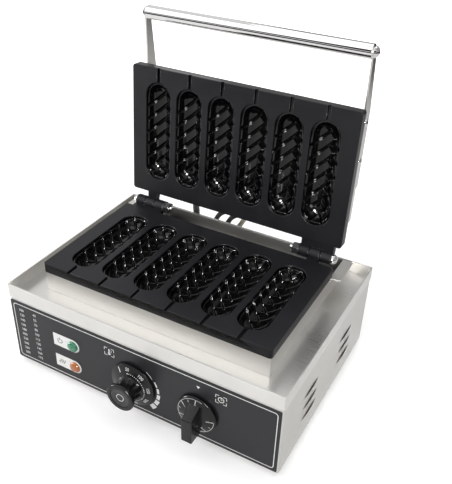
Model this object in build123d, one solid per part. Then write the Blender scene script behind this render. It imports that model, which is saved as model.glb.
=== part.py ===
from build123d import *
import os
from dataclasses import dataclass
from math import atan2, cos, degrees, pi, radians, sin, sqrt, tan

# Countertop waffle stick maker with a stainless body and two hinged cast plates.
# Millimetres. X runs to the right seen from the front, Y to the back, Z up.
# The origin is the centre of the footprint, on the surface that the feet stand on.
# The lid stands open, which is how the model rests.

# Driving sizes of the body
body_width = 350.0
body_depth = 250.0
body_height = 109.0
foot_height = 6.0
sheet = 1.0
overrun = 2.0
slip = 0.1
seat_gap = 0.3

# Rim and drip tray, pressed from one sheet and set over the housing
rim_height = 17.0
rim_wall = 1.6
rim_overhang = 1.0
rim_corner = 2.0
tray_depth = 14.5

# Riser frame that carries the lower plate above the tray
riser_height = 24.5
riser_inset = 1.0
riser_reach_behind_hinge = 24.5
riser_foot_width = 8.0
flap_length = 44.0
flap_width = 12.0
flap_corner = 4.0
relief_length = 3.0
relief_depth = 4.0

# Cast plates, two of the same casting, one turned over
plate_width = 288.5
plate_length = 163.0
plate_thickness = 12.2
plate_corner = 8.0
plate_bevel = 0.8
plate_front_margin = 30.0
parting_gap = 0.6
hinge_offset = 15.5
open_angle = 93.5

# Stick cavities in each plate, half-round with a ledge round the mouth
cavity_count = 6
cavity_side_margin = 37.0
cavity_rib = 7.7
cavity_end_margin = 17.0
cavity_near_margin = 20.0
cavity_floor = 4.0
cavity_wall = 1.6
ledge_depth = 2.8
ledge_width = 2.8
stick_slot_width = 3.0
stick_slot_depth = 2.2

# Plaited relief of a cavity: bars at 45 degrees between grooves, long ones from one side
groove_depth = 2.6
groove_width = 1.8
groove_angle = 45.0
plait_count = 7
plait_pitch_share = 0.1313
plait_middle_share = -0.015
plait_axis_offset = 0.6
trough_middle_width_share = 0.61
trough_middle_depth_share = 0.79
trough_bottom_width_share = 0.08

# Hinges
hinge_centre = 115.6
knuckle_width = 13.5
knuckle_gap = 0.3
knuckle_radius = 7.5
lug_relief = 0.7
lug_thickness = 9.5
bolt_radius = 4.0
bolt_clearance = 0.05
bolt_head_radius = 6.5
bolt_head_height = 6.5
washer_radius = 7.5
washer_thickness = 1.5
hinge_nut_width = 13.0
hinge_nut_height = 6.5
bolt_tail = 3.5

# Tubular heating elements under the lower plate and above the upper one
element_radius = 3.3
element_rows = 4
element_row_inset = 13.5
element_side_inset = 14.45
element_bend = 15.0
element_end_bend = 7.0
lower_element_end = 22.0
upper_element_end = 9.0
terminal_radius = 4.8
terminal_length = 6.0
terminal_pin_radius = 1.6
terminal_pin_length = 2.4
clamp_thickness = 2.0
clamp_margin = 6.0
clamp_corner = 6.0
clamp_hole_clearance = 3.3
terminal_hole_clearance = 1.0
capillary_hole_clearance = 1.6
stud_radius = 3.0
stud_collar_width = 11.0
stud_collar_height = 4.0
stud_side_inset = 36.45
insulation_corner = 4.0

# Lid cover
cover_side_margin = 6.5
cover_near_margin = 14.5
cover_far_margin = 12.5
cover_back = 44.3
cover_corner = 3.0
cover_screw_radius = 2.5
cover_screw_head_radius = 5.0
cover_screw_head_height = 2.6

# Handle: two flat arms and a round tube
arm_thickness = 2.0
arm_start_margin = 48.0
arm_taper_margin = 8.5
arm_front = 24.0
arm_back = 41.0
arm_end_radius = 4.8
handle_margin = 57.0
handle_height = 23.5
handle_radius = 8.0
handle_wall = 1.5
handle_plug_length = 14.0
handle_bolt_radius = 3.0
handle_bolt_head_radius = 6.5
handle_bolt_head_height = 4.5
arm_screw_margin = 35.0
arm_screw_spacing = 45.0
arm_screw_height = 31.0
arm_screw_radius = 2.0
arm_screw_head_radius = 4.2
arm_screw_head_height = 2.4
arm_screw_length = 7.0
arm_nut_width = 7.0
arm_nut_height = 2.6

# Housing details
fold_width = 12.0
fold_corner = 1.5
louvre_length = 36.0
louvre_height = 7.0
louvre_bulge = 3.2
louvre_group_offset = 51.0
louvre_low_z = 24.0
louvre_pitch = 15.8
louvre_count = 3
vent_length = 40.0
vent_width = 4.0
vent_pitch = 10.0
vent_count = 6
base_vent_offset = 70.0
rear_vent_inset = 135.0
rear_vent_z = 50.0

# Feet
foot_radius = 10.0
foot_top_radius = 8.5
foot_inset = 28.0
foot_screw_radius = 2.0
foot_screw_head_radius = 4.0
foot_screw_head_height = 2.4
foot_recess_depth = 3.4
foot_nut_width = 7.0
foot_nut_height = 3.2

# Front label and pilot lamps
label_side_margin = 1.7
label_bottom_margin = 1.5
label_height = 86.5
label_thickness = 0.6
label_corner = 3.0
lamp_inset = 90.0
upper_lamp_height = 55.5
lower_lamp_height = 24.0
lamp_plate_length = 37.0
lamp_plate_height = 17.5
lamp_plate_thickness = 0.6
lamp_bezel_radius = 6.8
lamp_bezel_height = 1.2
lamp_lens_radius = 5.6
lamp_lens_height = 3.2
lamp_body_radius = 5.0
lamp_body_length = 24.0
lamp_nut_width = 14.0
lamp_nut_height = 3.5

# Temperature dial and thermostat
temperature_offset_share = -0.0143
temperature_height = 39.5
knob_gap = 1.2
temperature_skirt_radius = 27.6
temperature_skirt_edge = 2.4
temperature_skirt_height = 6.5
temperature_grip_radius = 15.2
temperature_waist_radius = 14.0
temperature_front_radius = 17.0
temperature_grip_height = 25.5
temperature_disc_height = 5.0
temperature_flute_count = 8
temperature_flute_radius = 4.0
temperature_flute_depth = 1.3
cap_radius = 11.5
cap_depth = 1.6
cap_dish = 0.6
cap_border = 1.5
spindle_radius = 3.0
spindle_clearance = 0.05
spindle_in_knob = 14.0
spindle_in_body = 12.0
panel_hole_radius = 5.0
thermostat_width = 40.0
thermostat_height = 34.0
thermostat_length = 27.0
bracket_margin = 8.0
bracket_thickness = 1.5
bulb_radius = 3.0
bulb_half_length = 35.0
capillary_radius = 0.9
capillary_bend = 6.0
capillary_side_reach = 17.0
capillary_rise = 11.0

# Timer dial and timer
timer_inset = 96.0
timer_height = 38.5
timer_skirt_radius = 23.7
timer_skirt_edge = 2.6
timer_skirt_height = 7.5
timer_grip_width = 12.5
timer_grip_height = 23.0
timer_grip_top_length = 17.0
timer_grip_slope_length = 8.0
timer_grip_bottom_length = 23.0
timer_grip_rounding = 2.0
timer_case_width = 46.0
timer_case_height = 50.0
timer_case_length = 34.0

# Terminal block on the base plate
terminal_block_length = 58.0
terminal_block_width = 22.0
terminal_block_height = 16.0
terminal_block_side_inset = 80.0
terminal_block_rear_inset = 55.0
terminal_count = 4
terminal_well_radius = 3.2
terminal_well_depth = 6.0
terminal_screw_radius = 2.6
terminal_screw_height = 3.0

# Power cord inlet at the rear
inlet_inset = 50.0
inlet_height = 28.0
inlet_bore_radius = 4.0
inlet_body_radius = 7.0
inlet_flange_radius = 10.0
inlet_flange_height = 4.0
inlet_nose_length = 12.0
inlet_nose_radius = 6.0
inlet_inner_length = 8.0

# Leads between the base and the lid
lead_radius_thick = 4.5
lead_radius_thin = 3.3
lead_start_depth = 3.0
lead_exit_run = 18.0
lead_entry_height = 43.0
lead_entry_run = 10.0
lead_inside_run = 6.0
lead_rim_rise = 9.0
bend_share = 0.45
grommet_flange = 3.0
grommet_flange_height = 2.0
grommet_neck = 1.6

# Screws of the rear panel and the base plate
panel_screw_radius = 1.8
panel_screw_head_radius = 3.6
panel_screw_head_height = 2.0
panel_screw_length = 6.0
panel_screw_inset = 7.0


# Places worked out from the sizes above
half_width = body_width / 2
half_depth = body_depth / 2
temperature_x = temperature_offset_share * half_width
timer_x = half_width - timer_inset
lamp_x = lamp_inset - half_width
rear_vent_x = half_width - rear_vent_inset
terminal_block_x = half_width - terminal_block_side_inset
terminal_block_y = half_depth - terminal_block_rear_inset
inlet_x = half_width - inlet_inset
shell_half_width = half_width - rim_overhang
shell_half_depth = half_depth - rim_overhang
housing_bottom = foot_height
rim_top = foot_height + body_height
rim_bottom = rim_top - rim_height
tray_floor = rim_top - tray_depth
deck_underside = tray_floor - sheet
plate_underside = tray_floor + riser_height
hinge_z = plate_underside + plate_thickness + parting_gap / 2
plate_front_y = -half_depth + plate_front_margin
plate_rear_y = plate_front_y + plate_length
hinge_y = plate_rear_y + hinge_offset
front_face_y = -shell_half_depth
label_face_y = front_face_y - label_thickness
lamp_heights = (upper_lamp_height, lower_lamp_height)

# The casting's own frame: u along the hinge, v from the hinge to the free edge,
# w from the parting plane into the metal
face_w = parting_gap / 2
slab_back_w = face_w + plate_thickness
cavity_pitch = (plate_width - 2 * cavity_side_margin) / (cavity_count - 1)
cavity_width = cavity_pitch - cavity_rib
cavity_length = plate_length - cavity_end_margin - cavity_near_margin
plait_pitch = plait_pitch_share * cavity_length
bar_radius = cavity_width / 2 - ledge_width
groove_radius = bar_radius + groove_depth
block_back_w = face_w + groove_radius + cavity_floor
near_v = hinge_offset
far_v = hinge_offset + plate_length
plate_mid_v = (near_v + far_v) / 2
cavity_far_v = far_v - cavity_end_margin
cavity_mid_v = cavity_far_v - cavity_length / 2
cavity_span = (cavity_count - 1) * cavity_pitch
block_width = cavity_span + cavity_width + 2 * cavity_wall
block_length = cavity_length + 2 * cavity_wall
element_w = block_back_w + element_radius
clamp_w = element_w + element_radius
clamp_back_w = clamp_w + clamp_thickness
knuckle_pitch = knuckle_width + knuckle_gap
element_row_pitch = (cavity_length - 2 * element_row_inset) / (element_rows - 1)
element_half_run = block_width / 2 - element_side_inset
stud_half_u = block_width / 2 - stud_side_inset
cover_half_width = plate_width / 2 - cover_side_margin
cover_near = near_v + cover_near_margin
cover_far = far_v - cover_far_margin
arm_near = cover_near + arm_start_margin
arm_full_far = far_v - arm_taper_margin
arm_screw_near = arm_near + arm_screw_margin
handle_reach = far_v + handle_margin

lower_frame = Plane(origin=(0, hinge_y, hinge_z), x_dir=(1, 0, 0), z_dir=(0, 0, -1))
upper_frame = Plane(
    origin=(0, hinge_y, hinge_z),
    x_dir=(-1, 0, 0),
    z_dir=(0, sin(radians(open_angle)), cos(radians(open_angle))),
)


def on_lower(shape):
    """Place a shape of the casting's frame on the base."""
    return lower_frame.location * shape


def on_lid(shape):
    """Place a shape of the casting's frame on the open lid."""
    return upper_frame.location * shape


def lid_point(x, v, w):
    """The place of a point of the open lid, with x to the right seen from the front."""
    angle = radians(open_angle)
    return (
        x,
        hinge_y - v * cos(angle) + w * sin(angle),
        hinge_z + v * sin(angle) + w * cos(angle),
    )


def block(low, high):
    """A box between two corners."""
    size = [b - a for a, b in zip(low, high)]
    middle = [(a + b) / 2 for a, b in zip(low, high)]
    return Pos(*middle) * Box(*size)


def upright(radius, low, high, x=0.0, y=0.0):
    """A cylinder along Z between two heights."""
    return Pos(x, y, (low + high) / 2) * Cylinder(radius, high - low)


def along_x(radius, start, end, y=0.0, z=0.0):
    """A cylinder along X between two places."""
    return Pos((start + end) / 2, y, z) * Rot(0, 90, 0) * Cylinder(radius, end - start)


def along_y(radius, start, end, x=0.0, z=0.0):
    """A cylinder along Y between two places."""
    return Pos(x, (start + end) / 2, z) * Rot(90, 0, 0) * Cylinder(radius, end - start)


def hexagon(width, low, high):
    """A hexagonal prism along Z with the given width across flats."""
    return Pos(0, 0, low) * extrude(RegularPolygon(width / sqrt(3), 6), high - low)


def dome_head(radius, height):
    """A screw's domed head: the flat side is at z = 0 and the dome points to +z."""
    sphere_radius = (radius**2 + height**2) / (2 * height)
    ball = Pos(0, 0, height - sphere_radius) * Sphere(sphere_radius)
    return ball & upright(radius, 0, height)


def turned(points):
    """A solid of revolution about Z from a closed outline of (radius, z) points."""
    outline = Polyline([(r, 0, z) for r, z in points], close=True)
    return revolve(make_face(outline.edges()), Axis.Z)


def group(shapes):
    """Several separate solids that share one node."""
    return Compound([s for shape in shapes for s in shape.solids()])


def rounded_slab(width, depth, radius, low, high):
    """A plate with rounded corners, centred on the Z axis."""
    return Pos(0, 0, low) * extrude(RectangleRounded(width, depth, radius), high - low)


# Housing
def louvre_lens(length, bulge, height):
    """The bulge of a pressed louvre: its arc in plan, sloped to nothing at the top."""
    arc = ThreePointArc((0, -length / 2), (bulge, 0), (0, length / 2))
    chord = Line((0, length / 2), (0, -length / 2))
    lens = extrude(make_face([arc, chord]), height)
    slope = Polyline((bulge, 0), (bulge + overrun, 0), (bulge + overrun, height), (0, height), close=True)
    cutter = extrude(Plane.XZ * make_face(slope.edges()), length / 2 + overrun, both=True)
    return lens - cutter


def louvre_places():
    """The (y, z) places of the louvres on one side."""
    return [
        (side * louvre_group_offset, housing_bottom + louvre_low_z - louvre_height / 2 + i * louvre_pitch)
        for side in (-1, 1)
        for i in range(louvre_count)
    ]


def add_louvres(shell, side):
    """Press the louvres out of one side wall."""
    hood = louvre_lens(louvre_length, louvre_bulge, louvre_height)
    hollow = louvre_lens(louvre_length - 2 * sheet, louvre_bulge - sheet, louvre_height - sheet)
    window = block(
        (-sheet - overrun, -louvre_length / 2 + sheet, 0),
        (0, louvre_length / 2 - sheet, louvre_height / 2),
    )
    for y, z in louvre_places():
        turn = Rot(0, 0, 0) if side > 0 else Rot(0, 0, 180)
        place = Pos(side * shell_half_width, y, z) * turn
        shell = shell + place * hood
        shell = shell - place * (hollow + window)
    return shell


def panel_opening(radius, x, height):
    """A cutter for a round hole through the front wall and label."""
    start = label_face_y - overrun
    return along_y(radius, start, front_face_y + sheet + overrun, x, housing_bottom + height)


def front_openings():
    """Cutters for the lamps and the two spindles."""
    lamps = [panel_opening(lamp_body_radius + slip, lamp_x, height) for height in lamp_heights]
    dials = [
        panel_opening(panel_hole_radius, temperature_x, temperature_height),
        panel_opening(panel_hole_radius, timer_x, timer_height),
    ]
    return lamps + dials


def rear_screw_places():
    """The (x, z) places of the rear panel's screws."""
    inset = fold_width + panel_screw_inset
    return [
        (sx * (shell_half_width - panel_screw_inset), z)
        for sx in (-1, 1)
        for z in (housing_bottom + inset, deck_underside - inset)
    ]


def base_screw_places():
    """The (x, y) places of the base plate's screws."""
    return [
        (sx * (shell_half_width - panel_screw_inset), y)
        for sx in (-1, 1)
        for y in (-half_depth / 2, half_depth / 2)
    ]


def housing_shell():
    """Front and side walls folded from one sheet, with inward folds and louvres."""
    wall_inside = shell_half_width - sheet
    rear_edge = shell_half_depth - sheet
    fold_top = housing_bottom + 2 * sheet
    outer = rounded_slab(
        2 * shell_half_width, 2 * shell_half_depth, fold_corner + sheet, housing_bottom, deck_underside
    )
    inner = rounded_slab(
        2 * wall_inside, 2 * rear_edge, fold_corner, housing_bottom - overrun, deck_underside + overrun
    )
    rear_cut = block(
        (-half_width, shell_half_depth - fold_corner - sheet, housing_bottom - overrun),
        (half_width, half_depth + overrun, deck_underside + overrun),
    )
    shell = outer - inner - rear_cut
    fold_inside = wall_inside - fold_width
    for side in (-1, 1):
        wall_low, wall_high = sorted((side * wall_inside, side * shell_half_width))
        low, high = sorted((side * wall_inside, side * fold_inside))
        side_wall = block((wall_low, 0, housing_bottom), (wall_high, shell_half_depth, deck_underside))
        rear_fold = block(
            (low, rear_edge - sheet, housing_bottom + sheet), (high, rear_edge, deck_underside)
        )
        bottom_fold = block((low, -rear_edge, housing_bottom + sheet), (high, rear_edge - sheet, fold_top))
        top_fold = block(
            (low, -rear_edge, deck_underside - sheet), (high, rear_edge - sheet, deck_underside)
        )
        shell = shell + side_wall + rear_fold + bottom_fold + top_fold
        shell = add_louvres(shell, side)
    for cutter in front_openings():
        shell = shell - cutter
    for x, z in rear_screw_places():
        shell = shell - along_y(panel_screw_radius, rear_edge - sheet - overrun, rear_edge + overrun, x, z)
    for x, y in base_screw_places():
        shell = shell - upright(panel_screw_radius, housing_bottom - overrun, fold_top + overrun, x, y)
    return shell


def vent_slots(rows):
    """Obround vent cutters standing along Z, centred on the origin, in a row along X."""
    offsets = [(i - (rows - 1) / 2) * vent_pitch for i in range(rows)]
    slot = extrude(SlotOverall(vent_length, vent_width, rotation=90), sheet + overrun, both=True)
    return [Pos(offset, 0, 0) * slot for offset in offsets]


def rear_panel():
    """Flat rear wall with its vents, lead holes and cord inlet hole."""
    rear_face = shell_half_depth
    panel = block(
        (-shell_half_width + sheet + slip, rear_face - sheet, housing_bottom + sheet),
        (shell_half_width - sheet - slip, rear_face, deck_underside),
    )
    for slot in vent_slots(vent_count):
        panel = panel - Pos(rear_vent_x, rear_face, housing_bottom + rear_vent_z) * Rot(90, 0, 0) * slot
    for x, z in rear_screw_places():
        panel = panel - along_y(panel_screw_radius, rear_face - sheet - overrun, rear_face + overrun, x, z)
    holes = [(lead.radius + grommet_neck, lead.base_x, lead_entry_height) for lead in leads]
    holes.append((inlet_body_radius, inlet_x, inlet_height))
    for radius, x, height in holes:
        hole = along_y(radius, rear_face - sheet - overrun, rear_face + overrun, x, housing_bottom + height)
        panel = panel - hole
    return panel


def foot_places():
    """The (x, y) places of the four feet."""
    return [
        (sx * (half_width - foot_inset), sy * (half_depth - foot_inset))
        for sx in (-1, 1)
        for sy in (-1, 1)
    ]


def base_plate():
    """Flat bottom sheet with vents and holes for the feet."""
    inside_x = shell_half_width - sheet - slip
    inside_y = shell_half_depth - sheet - slip
    top = housing_bottom + sheet
    plate = rounded_slab(2 * inside_x, 2 * inside_y, fold_corner, housing_bottom, top)
    plate = plate + block((-inside_x, 0, housing_bottom), (inside_x, shell_half_depth, top))
    for side in (-1, 1):
        for slot in vent_slots(vent_count):
            plate = plate - Pos(side * base_vent_offset, 0, housing_bottom) * slot
    low = housing_bottom - overrun
    for x, y in foot_places():
        plate = plate - upright(foot_screw_radius + slip, low, top + overrun, x, y)
    for x, y in base_screw_places():
        plate = plate - upright(panel_screw_radius, low, top + overrun, x, y)
    return plate


def feet():
    """Four rubber feet with a recess for the screw head."""
    foot = turned([
        (0, 0), (foot_radius, 0), (foot_top_radius, foot_height), (0, foot_height),
    ])
    foot = foot - upright(foot_screw_head_radius + seat_gap, -overrun, foot_recess_depth)
    foot = foot - upright(foot_screw_radius + slip, 0, foot_height + overrun)
    return group([Pos(x, y, 0) * foot for x, y in foot_places()])


def foot_screws():
    """Screws up through the feet and the base plate."""
    head = upright(foot_screw_head_radius, foot_recess_depth - foot_screw_head_height, foot_recess_depth)
    shank = upright(foot_screw_radius, foot_recess_depth, foot_height + sheet + foot_nut_height)
    return group([Pos(x, y, 0) * (head + shank) for x, y in foot_places()])


def foot_nuts():
    """Nuts on the foot screws, inside the housing."""
    low = foot_height + sheet
    high = low + foot_nut_height
    nut = hexagon(foot_nut_width, low, high) - upright(foot_screw_radius, low - overrun, high + overrun)
    return group([Pos(x, y, 0) * nut for x, y in foot_places()])


def rear_panel_screws():
    """Screws that hold the rear panel to the shell's folds."""
    face = shell_half_depth
    shank = along_y(panel_screw_radius, face - panel_screw_length, face)
    head = Pos(0, face, 0) * Rot(-90, 0, 0) * dome_head(panel_screw_head_radius, panel_screw_head_height)
    return group([Pos(x, 0, z) * (shank + head) for x, z in rear_screw_places()])


def base_plate_screws():
    """Screws that hold the base plate to the shell's folds."""
    shank = upright(panel_screw_radius, housing_bottom, housing_bottom + panel_screw_length)
    head = dome_head(panel_screw_head_radius, panel_screw_head_height)
    screw = shank + Pos(0, 0, housing_bottom) * Rot(180, 0, 0) * head
    return group([Pos(x, y, 0) * screw for x, y in base_screw_places()])


# Drip tray and riser
def drip_tray():
    """Rim and tray floor in one, set over the top of the housing."""
    tray = rounded_slab(body_width, body_depth, rim_corner, rim_bottom, rim_top)
    tray = tray - rounded_slab(
        body_width - 2 * rim_wall, body_depth - 2 * rim_wall, rim_corner / 2, tray_floor, rim_top + overrun
    )
    tray = tray - block(
        (-shell_half_width, -shell_half_depth, rim_bottom - overrun),
        (shell_half_width, shell_half_depth, deck_underside),
    )
    for cutter in lower_pass_throughs(slip):
        tray = tray - cutter
    return tray


def riser_frame():
    """Sheet frame under the lower plate, with two side flaps bent outwards at the rear."""
    outer_x = plate_width / 2 - riser_inset
    front = plate_front_y + riser_inset
    rear = hinge_y + riser_reach_behind_hinge
    frame = block((-outer_x, front, tray_floor), (outer_x, rear, plate_underside))
    frame = frame - block(
        (-outer_x + sheet, front + sheet, tray_floor + sheet),
        (outer_x - sheet, rear - sheet, plate_underside + overrun),
    )
    inner = sheet + riser_foot_width
    frame = frame - block(
        (-outer_x + inner, front + inner, tray_floor - overrun),
        (outer_x - inner, rear - inner, tray_floor + sheet + overrun),
    )
    flap_front = rear - flap_length
    flap_blank = rounded_slab(
        2 * flap_width, flap_length, flap_corner, plate_underside - sheet, plate_underside
    )
    flap = flap_blank & block((0, -flap_length, tray_floor), (2 * flap_width, flap_length, plate_underside))
    for side in (-1, 1):
        turn = Rot(0, 0, 0) if side > 0 else Rot(0, 0, 180)
        frame = frame + Pos(side * outer_x, flap_front + flap_length / 2, 0) * turn * flap
        relief = block(
            (outer_x - sheet - overrun, flap_front - relief_length, plate_underside - relief_depth),
            (outer_x + overrun, flap_front, plate_underside + overrun),
        )
        frame = frame - (relief if side > 0 else mirror(relief, Plane.YZ))
    return frame


# Cast plates
def cavity_places():
    """The u places of the stick cavities."""
    return [(i - (cavity_count - 1) / 2) * cavity_pitch for i in range(cavity_count)]


def trough(radius):
    """A half-round trough with round ends below the ledge, in two drafted steps."""
    half_widths = [
        sqrt(radius**2 - ledge_depth**2),
        trough_middle_width_share * radius,
        trough_bottom_width_share * radius,
    ]
    depths = [ledge_depth, trough_middle_depth_share * radius, radius]
    steps = []
    for i in (0, 1):
        run = half_widths[i] - half_widths[i + 1]
        rise = depths[i + 1] - depths[i]
        top = SlotOverall(cavity_length - cavity_width + 2 * half_widths[i], 2 * half_widths[i], rotation=90)
        steps.append(Pos(0, 0, depths[i]) * extrude(top, rise, taper=degrees(atan2(run, rise))))
    return steps[0] + steps[1]


def groove_bar(u, v, start, end):
    """A straight cutter at the plait's angle through (u, v), from start to end along u."""
    slope = 1 if end > 0 else -1
    length = (end - start) / cos(radians(groove_angle))
    middle = (start + end) / 2
    bar = Box(length, groove_width, groove_radius)
    place = Pos(u + middle, v - slope * middle * tan(radians(groove_angle)), groove_radius / 2 + ledge_depth)
    return place * Rot(0, 0, -slope * groove_angle) * bar


def plait_grooves():
    """The grooves between a cavity's bars, down to the groove radius."""
    side_reach = cavity_width / 2
    short_reach = side_reach - plait_axis_offset
    bars = []
    for k in range(plait_count):
        v = plait_middle_share * cavity_length + (k - (plait_count - 1) / 2) * plait_pitch
        bars.append(groove_bar(-plait_axis_offset, v, -plait_pitch / 2, side_reach + plait_axis_offset))
        bars.append(groove_bar(-plait_axis_offset, v, -short_reach, 0))
    return trough(groove_radius) & (bars[0] + bars[1:])


def cavity_cutter():
    """One plaited cavity, its mouth on the working face."""
    mouth = extrude(SlotOverall(cavity_length, cavity_width, rotation=90), ledge_depth)
    return mouth + trough(bar_radius) + plait_grooves()


def knuckle_span(centre, index):
    """Where one of a hinge's three knuckles starts and ends along u."""
    middle = centre + (index - 1) * knuckle_pitch
    return middle - knuckle_width / 2, middle + knuckle_width / 2


def hinge_lug(start, end):
    """One lug: a barrel on the hinge axis and a tapered arm into the plate's edge."""
    barrel = along_x(knuckle_radius, start, end)
    arm_outline = Polyline(
        (0, face_w + lug_relief),
        (near_v + overrun, face_w + lug_relief),
        (near_v + overrun, slab_back_w),
        (knuckle_radius, lug_thickness),
        (0, knuckle_radius),
        close=True,
    )
    arm_face = make_face(arm_outline.edges())
    arm = Pos(start, 0, 0) * extrude(Plane.YZ * arm_face, end - start)
    return barrel + arm


def cast_plate():
    """A plate with six cavities, stick slots and its hinge lugs, in the casting's frame."""
    slab = rounded_slab(plate_width, plate_length, plate_corner, face_w, slab_back_w)
    slab = Pos(0, plate_mid_v, 0) * chamfer(slab.faces().sort_by(Axis.Z)[0].edges(), plate_bevel)
    backing = Pos(0, cavity_mid_v, 0) * rounded_slab(
        block_width, block_length, cavity_width / 2, slab_back_w, block_back_w
    )
    plate = slab + backing
    for index in (0, 2):
        plate = plate + hinge_lug(*knuckle_span(-hinge_centre, index))
    plate = plate + hinge_lug(*knuckle_span(hinge_centre, 1))
    plate = plate - along_x(bolt_radius + bolt_clearance, -plate_width / 2, plate_width / 2)
    cavity = cavity_cutter()
    slot = block(
        (-stick_slot_width / 2, cavity_far_v - stick_slot_width, face_w - overrun),
        (stick_slot_width / 2, far_v + overrun, face_w + stick_slot_depth),
    )
    for u in cavity_places():
        plate = plate - Pos(u, cavity_mid_v, face_w) * cavity
        plate = plate - Pos(u, 0, 0) * slot
    return plate


# Hinge hardware
def hinge_sides():
    """Each hinge's centre, and the direction of its bolt head."""
    return [(-hinge_centre, -1), (hinge_centre, 1)]


def hinge_end():
    """How far a hinge's outer knuckle faces lie from its centre."""
    return 1.5 * knuckle_width + knuckle_gap


def hinge_bolts():
    """Two bolts with domed heads on the outer sides."""
    reach = hinge_end()
    tail = reach + washer_thickness + hinge_nut_height + bolt_tail
    shank = along_x(bolt_radius, -tail, reach)
    head = Pos(reach, 0, 0) * Rot(0, 90, 0) * dome_head(bolt_head_radius, bolt_head_height)
    bolt = shank + head
    return group([
        Pos(centre, hinge_y, hinge_z) * (bolt if side > 0 else Rot(0, 0, 180) * bolt)
        for centre, side in hinge_sides()
    ])


def hinge_washers():
    """Flat washers under the hinge nuts."""
    start = hinge_end()
    washer = along_x(washer_radius, start, start + washer_thickness)
    washer = washer - along_x(bolt_radius + slip, start - overrun, start + washer_thickness + overrun)
    return group([
        Pos(centre, hinge_y, hinge_z) * (Rot(0, 0, 180) * washer if side > 0 else washer)
        for centre, side in hinge_sides()
    ])


def hinge_nuts():
    """Hexagonal nuts on the inner sides of the hinges."""
    start = hinge_end() + washer_thickness
    nut = Rot(0, 90, 0) * hexagon(hinge_nut_width, start, start + hinge_nut_height)
    nut = nut - along_x(bolt_radius, start - overrun, start + hinge_nut_height + overrun)
    return group([
        Pos(centre, hinge_y, hinge_z) * (Rot(0, 0, 180) * nut if side > 0 else nut)
        for centre, side in hinge_sides()
    ])


# Heating parts, the same on both plates
def element_rows_v():
    """The v places of the element's straight runs."""
    return [cavity_mid_v + (i - (element_rows - 1) / 2) * element_row_pitch for i in range(element_rows)]


def element_ends():
    """The (u, v) places where the element turns away from the plate."""
    rows = element_rows_v()
    return [(element_half_run, rows[0]), (element_half_run, rows[-1])]


def heating_element(end_length):
    """A serpentine tube that lies on the back of the casting, with its ends turned away."""
    rows = element_rows_v()
    points = [(element_half_run, rows[0], element_w + end_length)]
    side = 1
    for v in rows:
        points.append((side * element_half_run, v, element_w))
        side = -side
        points.append((side * element_half_run, v, element_w))
    points.append((element_half_run, rows[-1], element_w + end_length))
    radii = [element_end_bend] + [element_bend] * (len(points) - 4) + [element_end_bend]
    path = FilletPolyline(*points, radius=radii)
    start = Plane(origin=points[0], z_dir=(0, 0, -1))
    return sweep(start * Circle(element_radius), path)


def element_terminals(end_length):
    """Ceramic collars with their pins on the element's two ends."""
    low = element_w + end_length
    collar = upright(terminal_radius, low, low + terminal_length)
    pin = upright(terminal_pin_radius, low + terminal_length, low + terminal_length + terminal_pin_length)
    return group([Pos(u, v, 0) * (collar + pin) for u, v in element_ends()])


def stud_places():
    """The (u, v) places of the four studs."""
    return [
        (su * stud_half_u, cavity_mid_v + sv * element_row_pitch)
        for su in (-1, 1)
        for sv in (-1, 1)
    ]


def clamp_plate():
    """Flat steel plate that presses the element onto the casting."""
    plate = Pos(0, cavity_mid_v, 0) * rounded_slab(
        block_width - 2 * clamp_margin, block_length - 2 * clamp_margin, clamp_corner, clamp_w, clamp_back_w
    )
    for u, v in stud_places():
        plate = plate - upright(stud_radius + slip, clamp_w - overrun, clamp_back_w + overrun, u, v)
    hole_radius = element_radius + clamp_hole_clearance
    for u, v in element_ends():
        plate = plate - upright(hole_radius, clamp_w - overrun, clamp_back_w + overrun, u, v)
    return plate - capillary_hole(clamp_w, clamp_back_w)


def capillary_hole(low, high):
    """A cutter for the capillary through a plate or pad behind the casting."""
    radius = capillary_radius + capillary_hole_clearance
    return upright(radius, low - overrun, high + overrun, capillary_exit_u(), cavity_mid_v)


def studs(end_w):
    """Threaded studs in the casting, with a hexagonal collar that holds the clamp plate."""
    rod = upright(stud_radius, block_back_w, end_w)
    collar = hexagon(stud_collar_width, clamp_back_w, clamp_back_w + stud_collar_height)
    return group([Pos(u, v, 0) * (rod + collar) for u, v in stud_places()])


def insulation(low, high):
    """Mineral wool pad with holes for the collars and the terminals."""
    pad = Pos(0, cavity_mid_v, 0) * rounded_slab(
        block_width - 2 * clamp_margin, block_length - 2 * clamp_margin, insulation_corner, low, high
    )
    for u, v in stud_places():
        pad = pad - upright(stud_collar_width / sqrt(3) + seat_gap, low - overrun, high + overrun, u, v)
    for u, v in element_ends():
        pad = pad - upright(terminal_radius + terminal_hole_clearance, low - overrun, high + overrun, u, v)
    return pad - capillary_hole(low, high)


def capillary_exit_u():
    """Where the thermostat's capillary turns down, along u."""
    return bulb_half_length + capillary_side_reach


def lower_pass_throughs(clearance):
    """Cutters through the deck for the studs, the element's ends and the capillary."""
    low = deck_underside - overrun
    high = tray_floor + overrun
    cutters = []
    for u, v in stud_places():
        cutters.append(upright(stud_radius + clearance, low, high, u, hinge_y - v))
    for u, v in element_ends():
        cutters.append(upright(element_radius + clamp_hole_clearance, low, high, u, hinge_y - v))
    capillary = capillary_radius + capillary_hole_clearance
    cutters.append(upright(capillary, low, high, capillary_exit_u(), hinge_y - cavity_mid_v))
    return cutters


def deck_nuts():
    """Nuts under the deck on the lower plate's studs."""
    low = deck_underside - stud_collar_height
    nut = hexagon(stud_collar_width, low, deck_underside)
    nut = nut - upright(stud_radius, low - overrun, deck_underside + overrun)
    return group([Pos(u, hinge_y - v, 0) * nut for u, v in stud_places()])


# Lid cover
def cover_screw_places():
    """The (u, v) places of the screws through the cover's back."""
    return stud_places()


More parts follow.
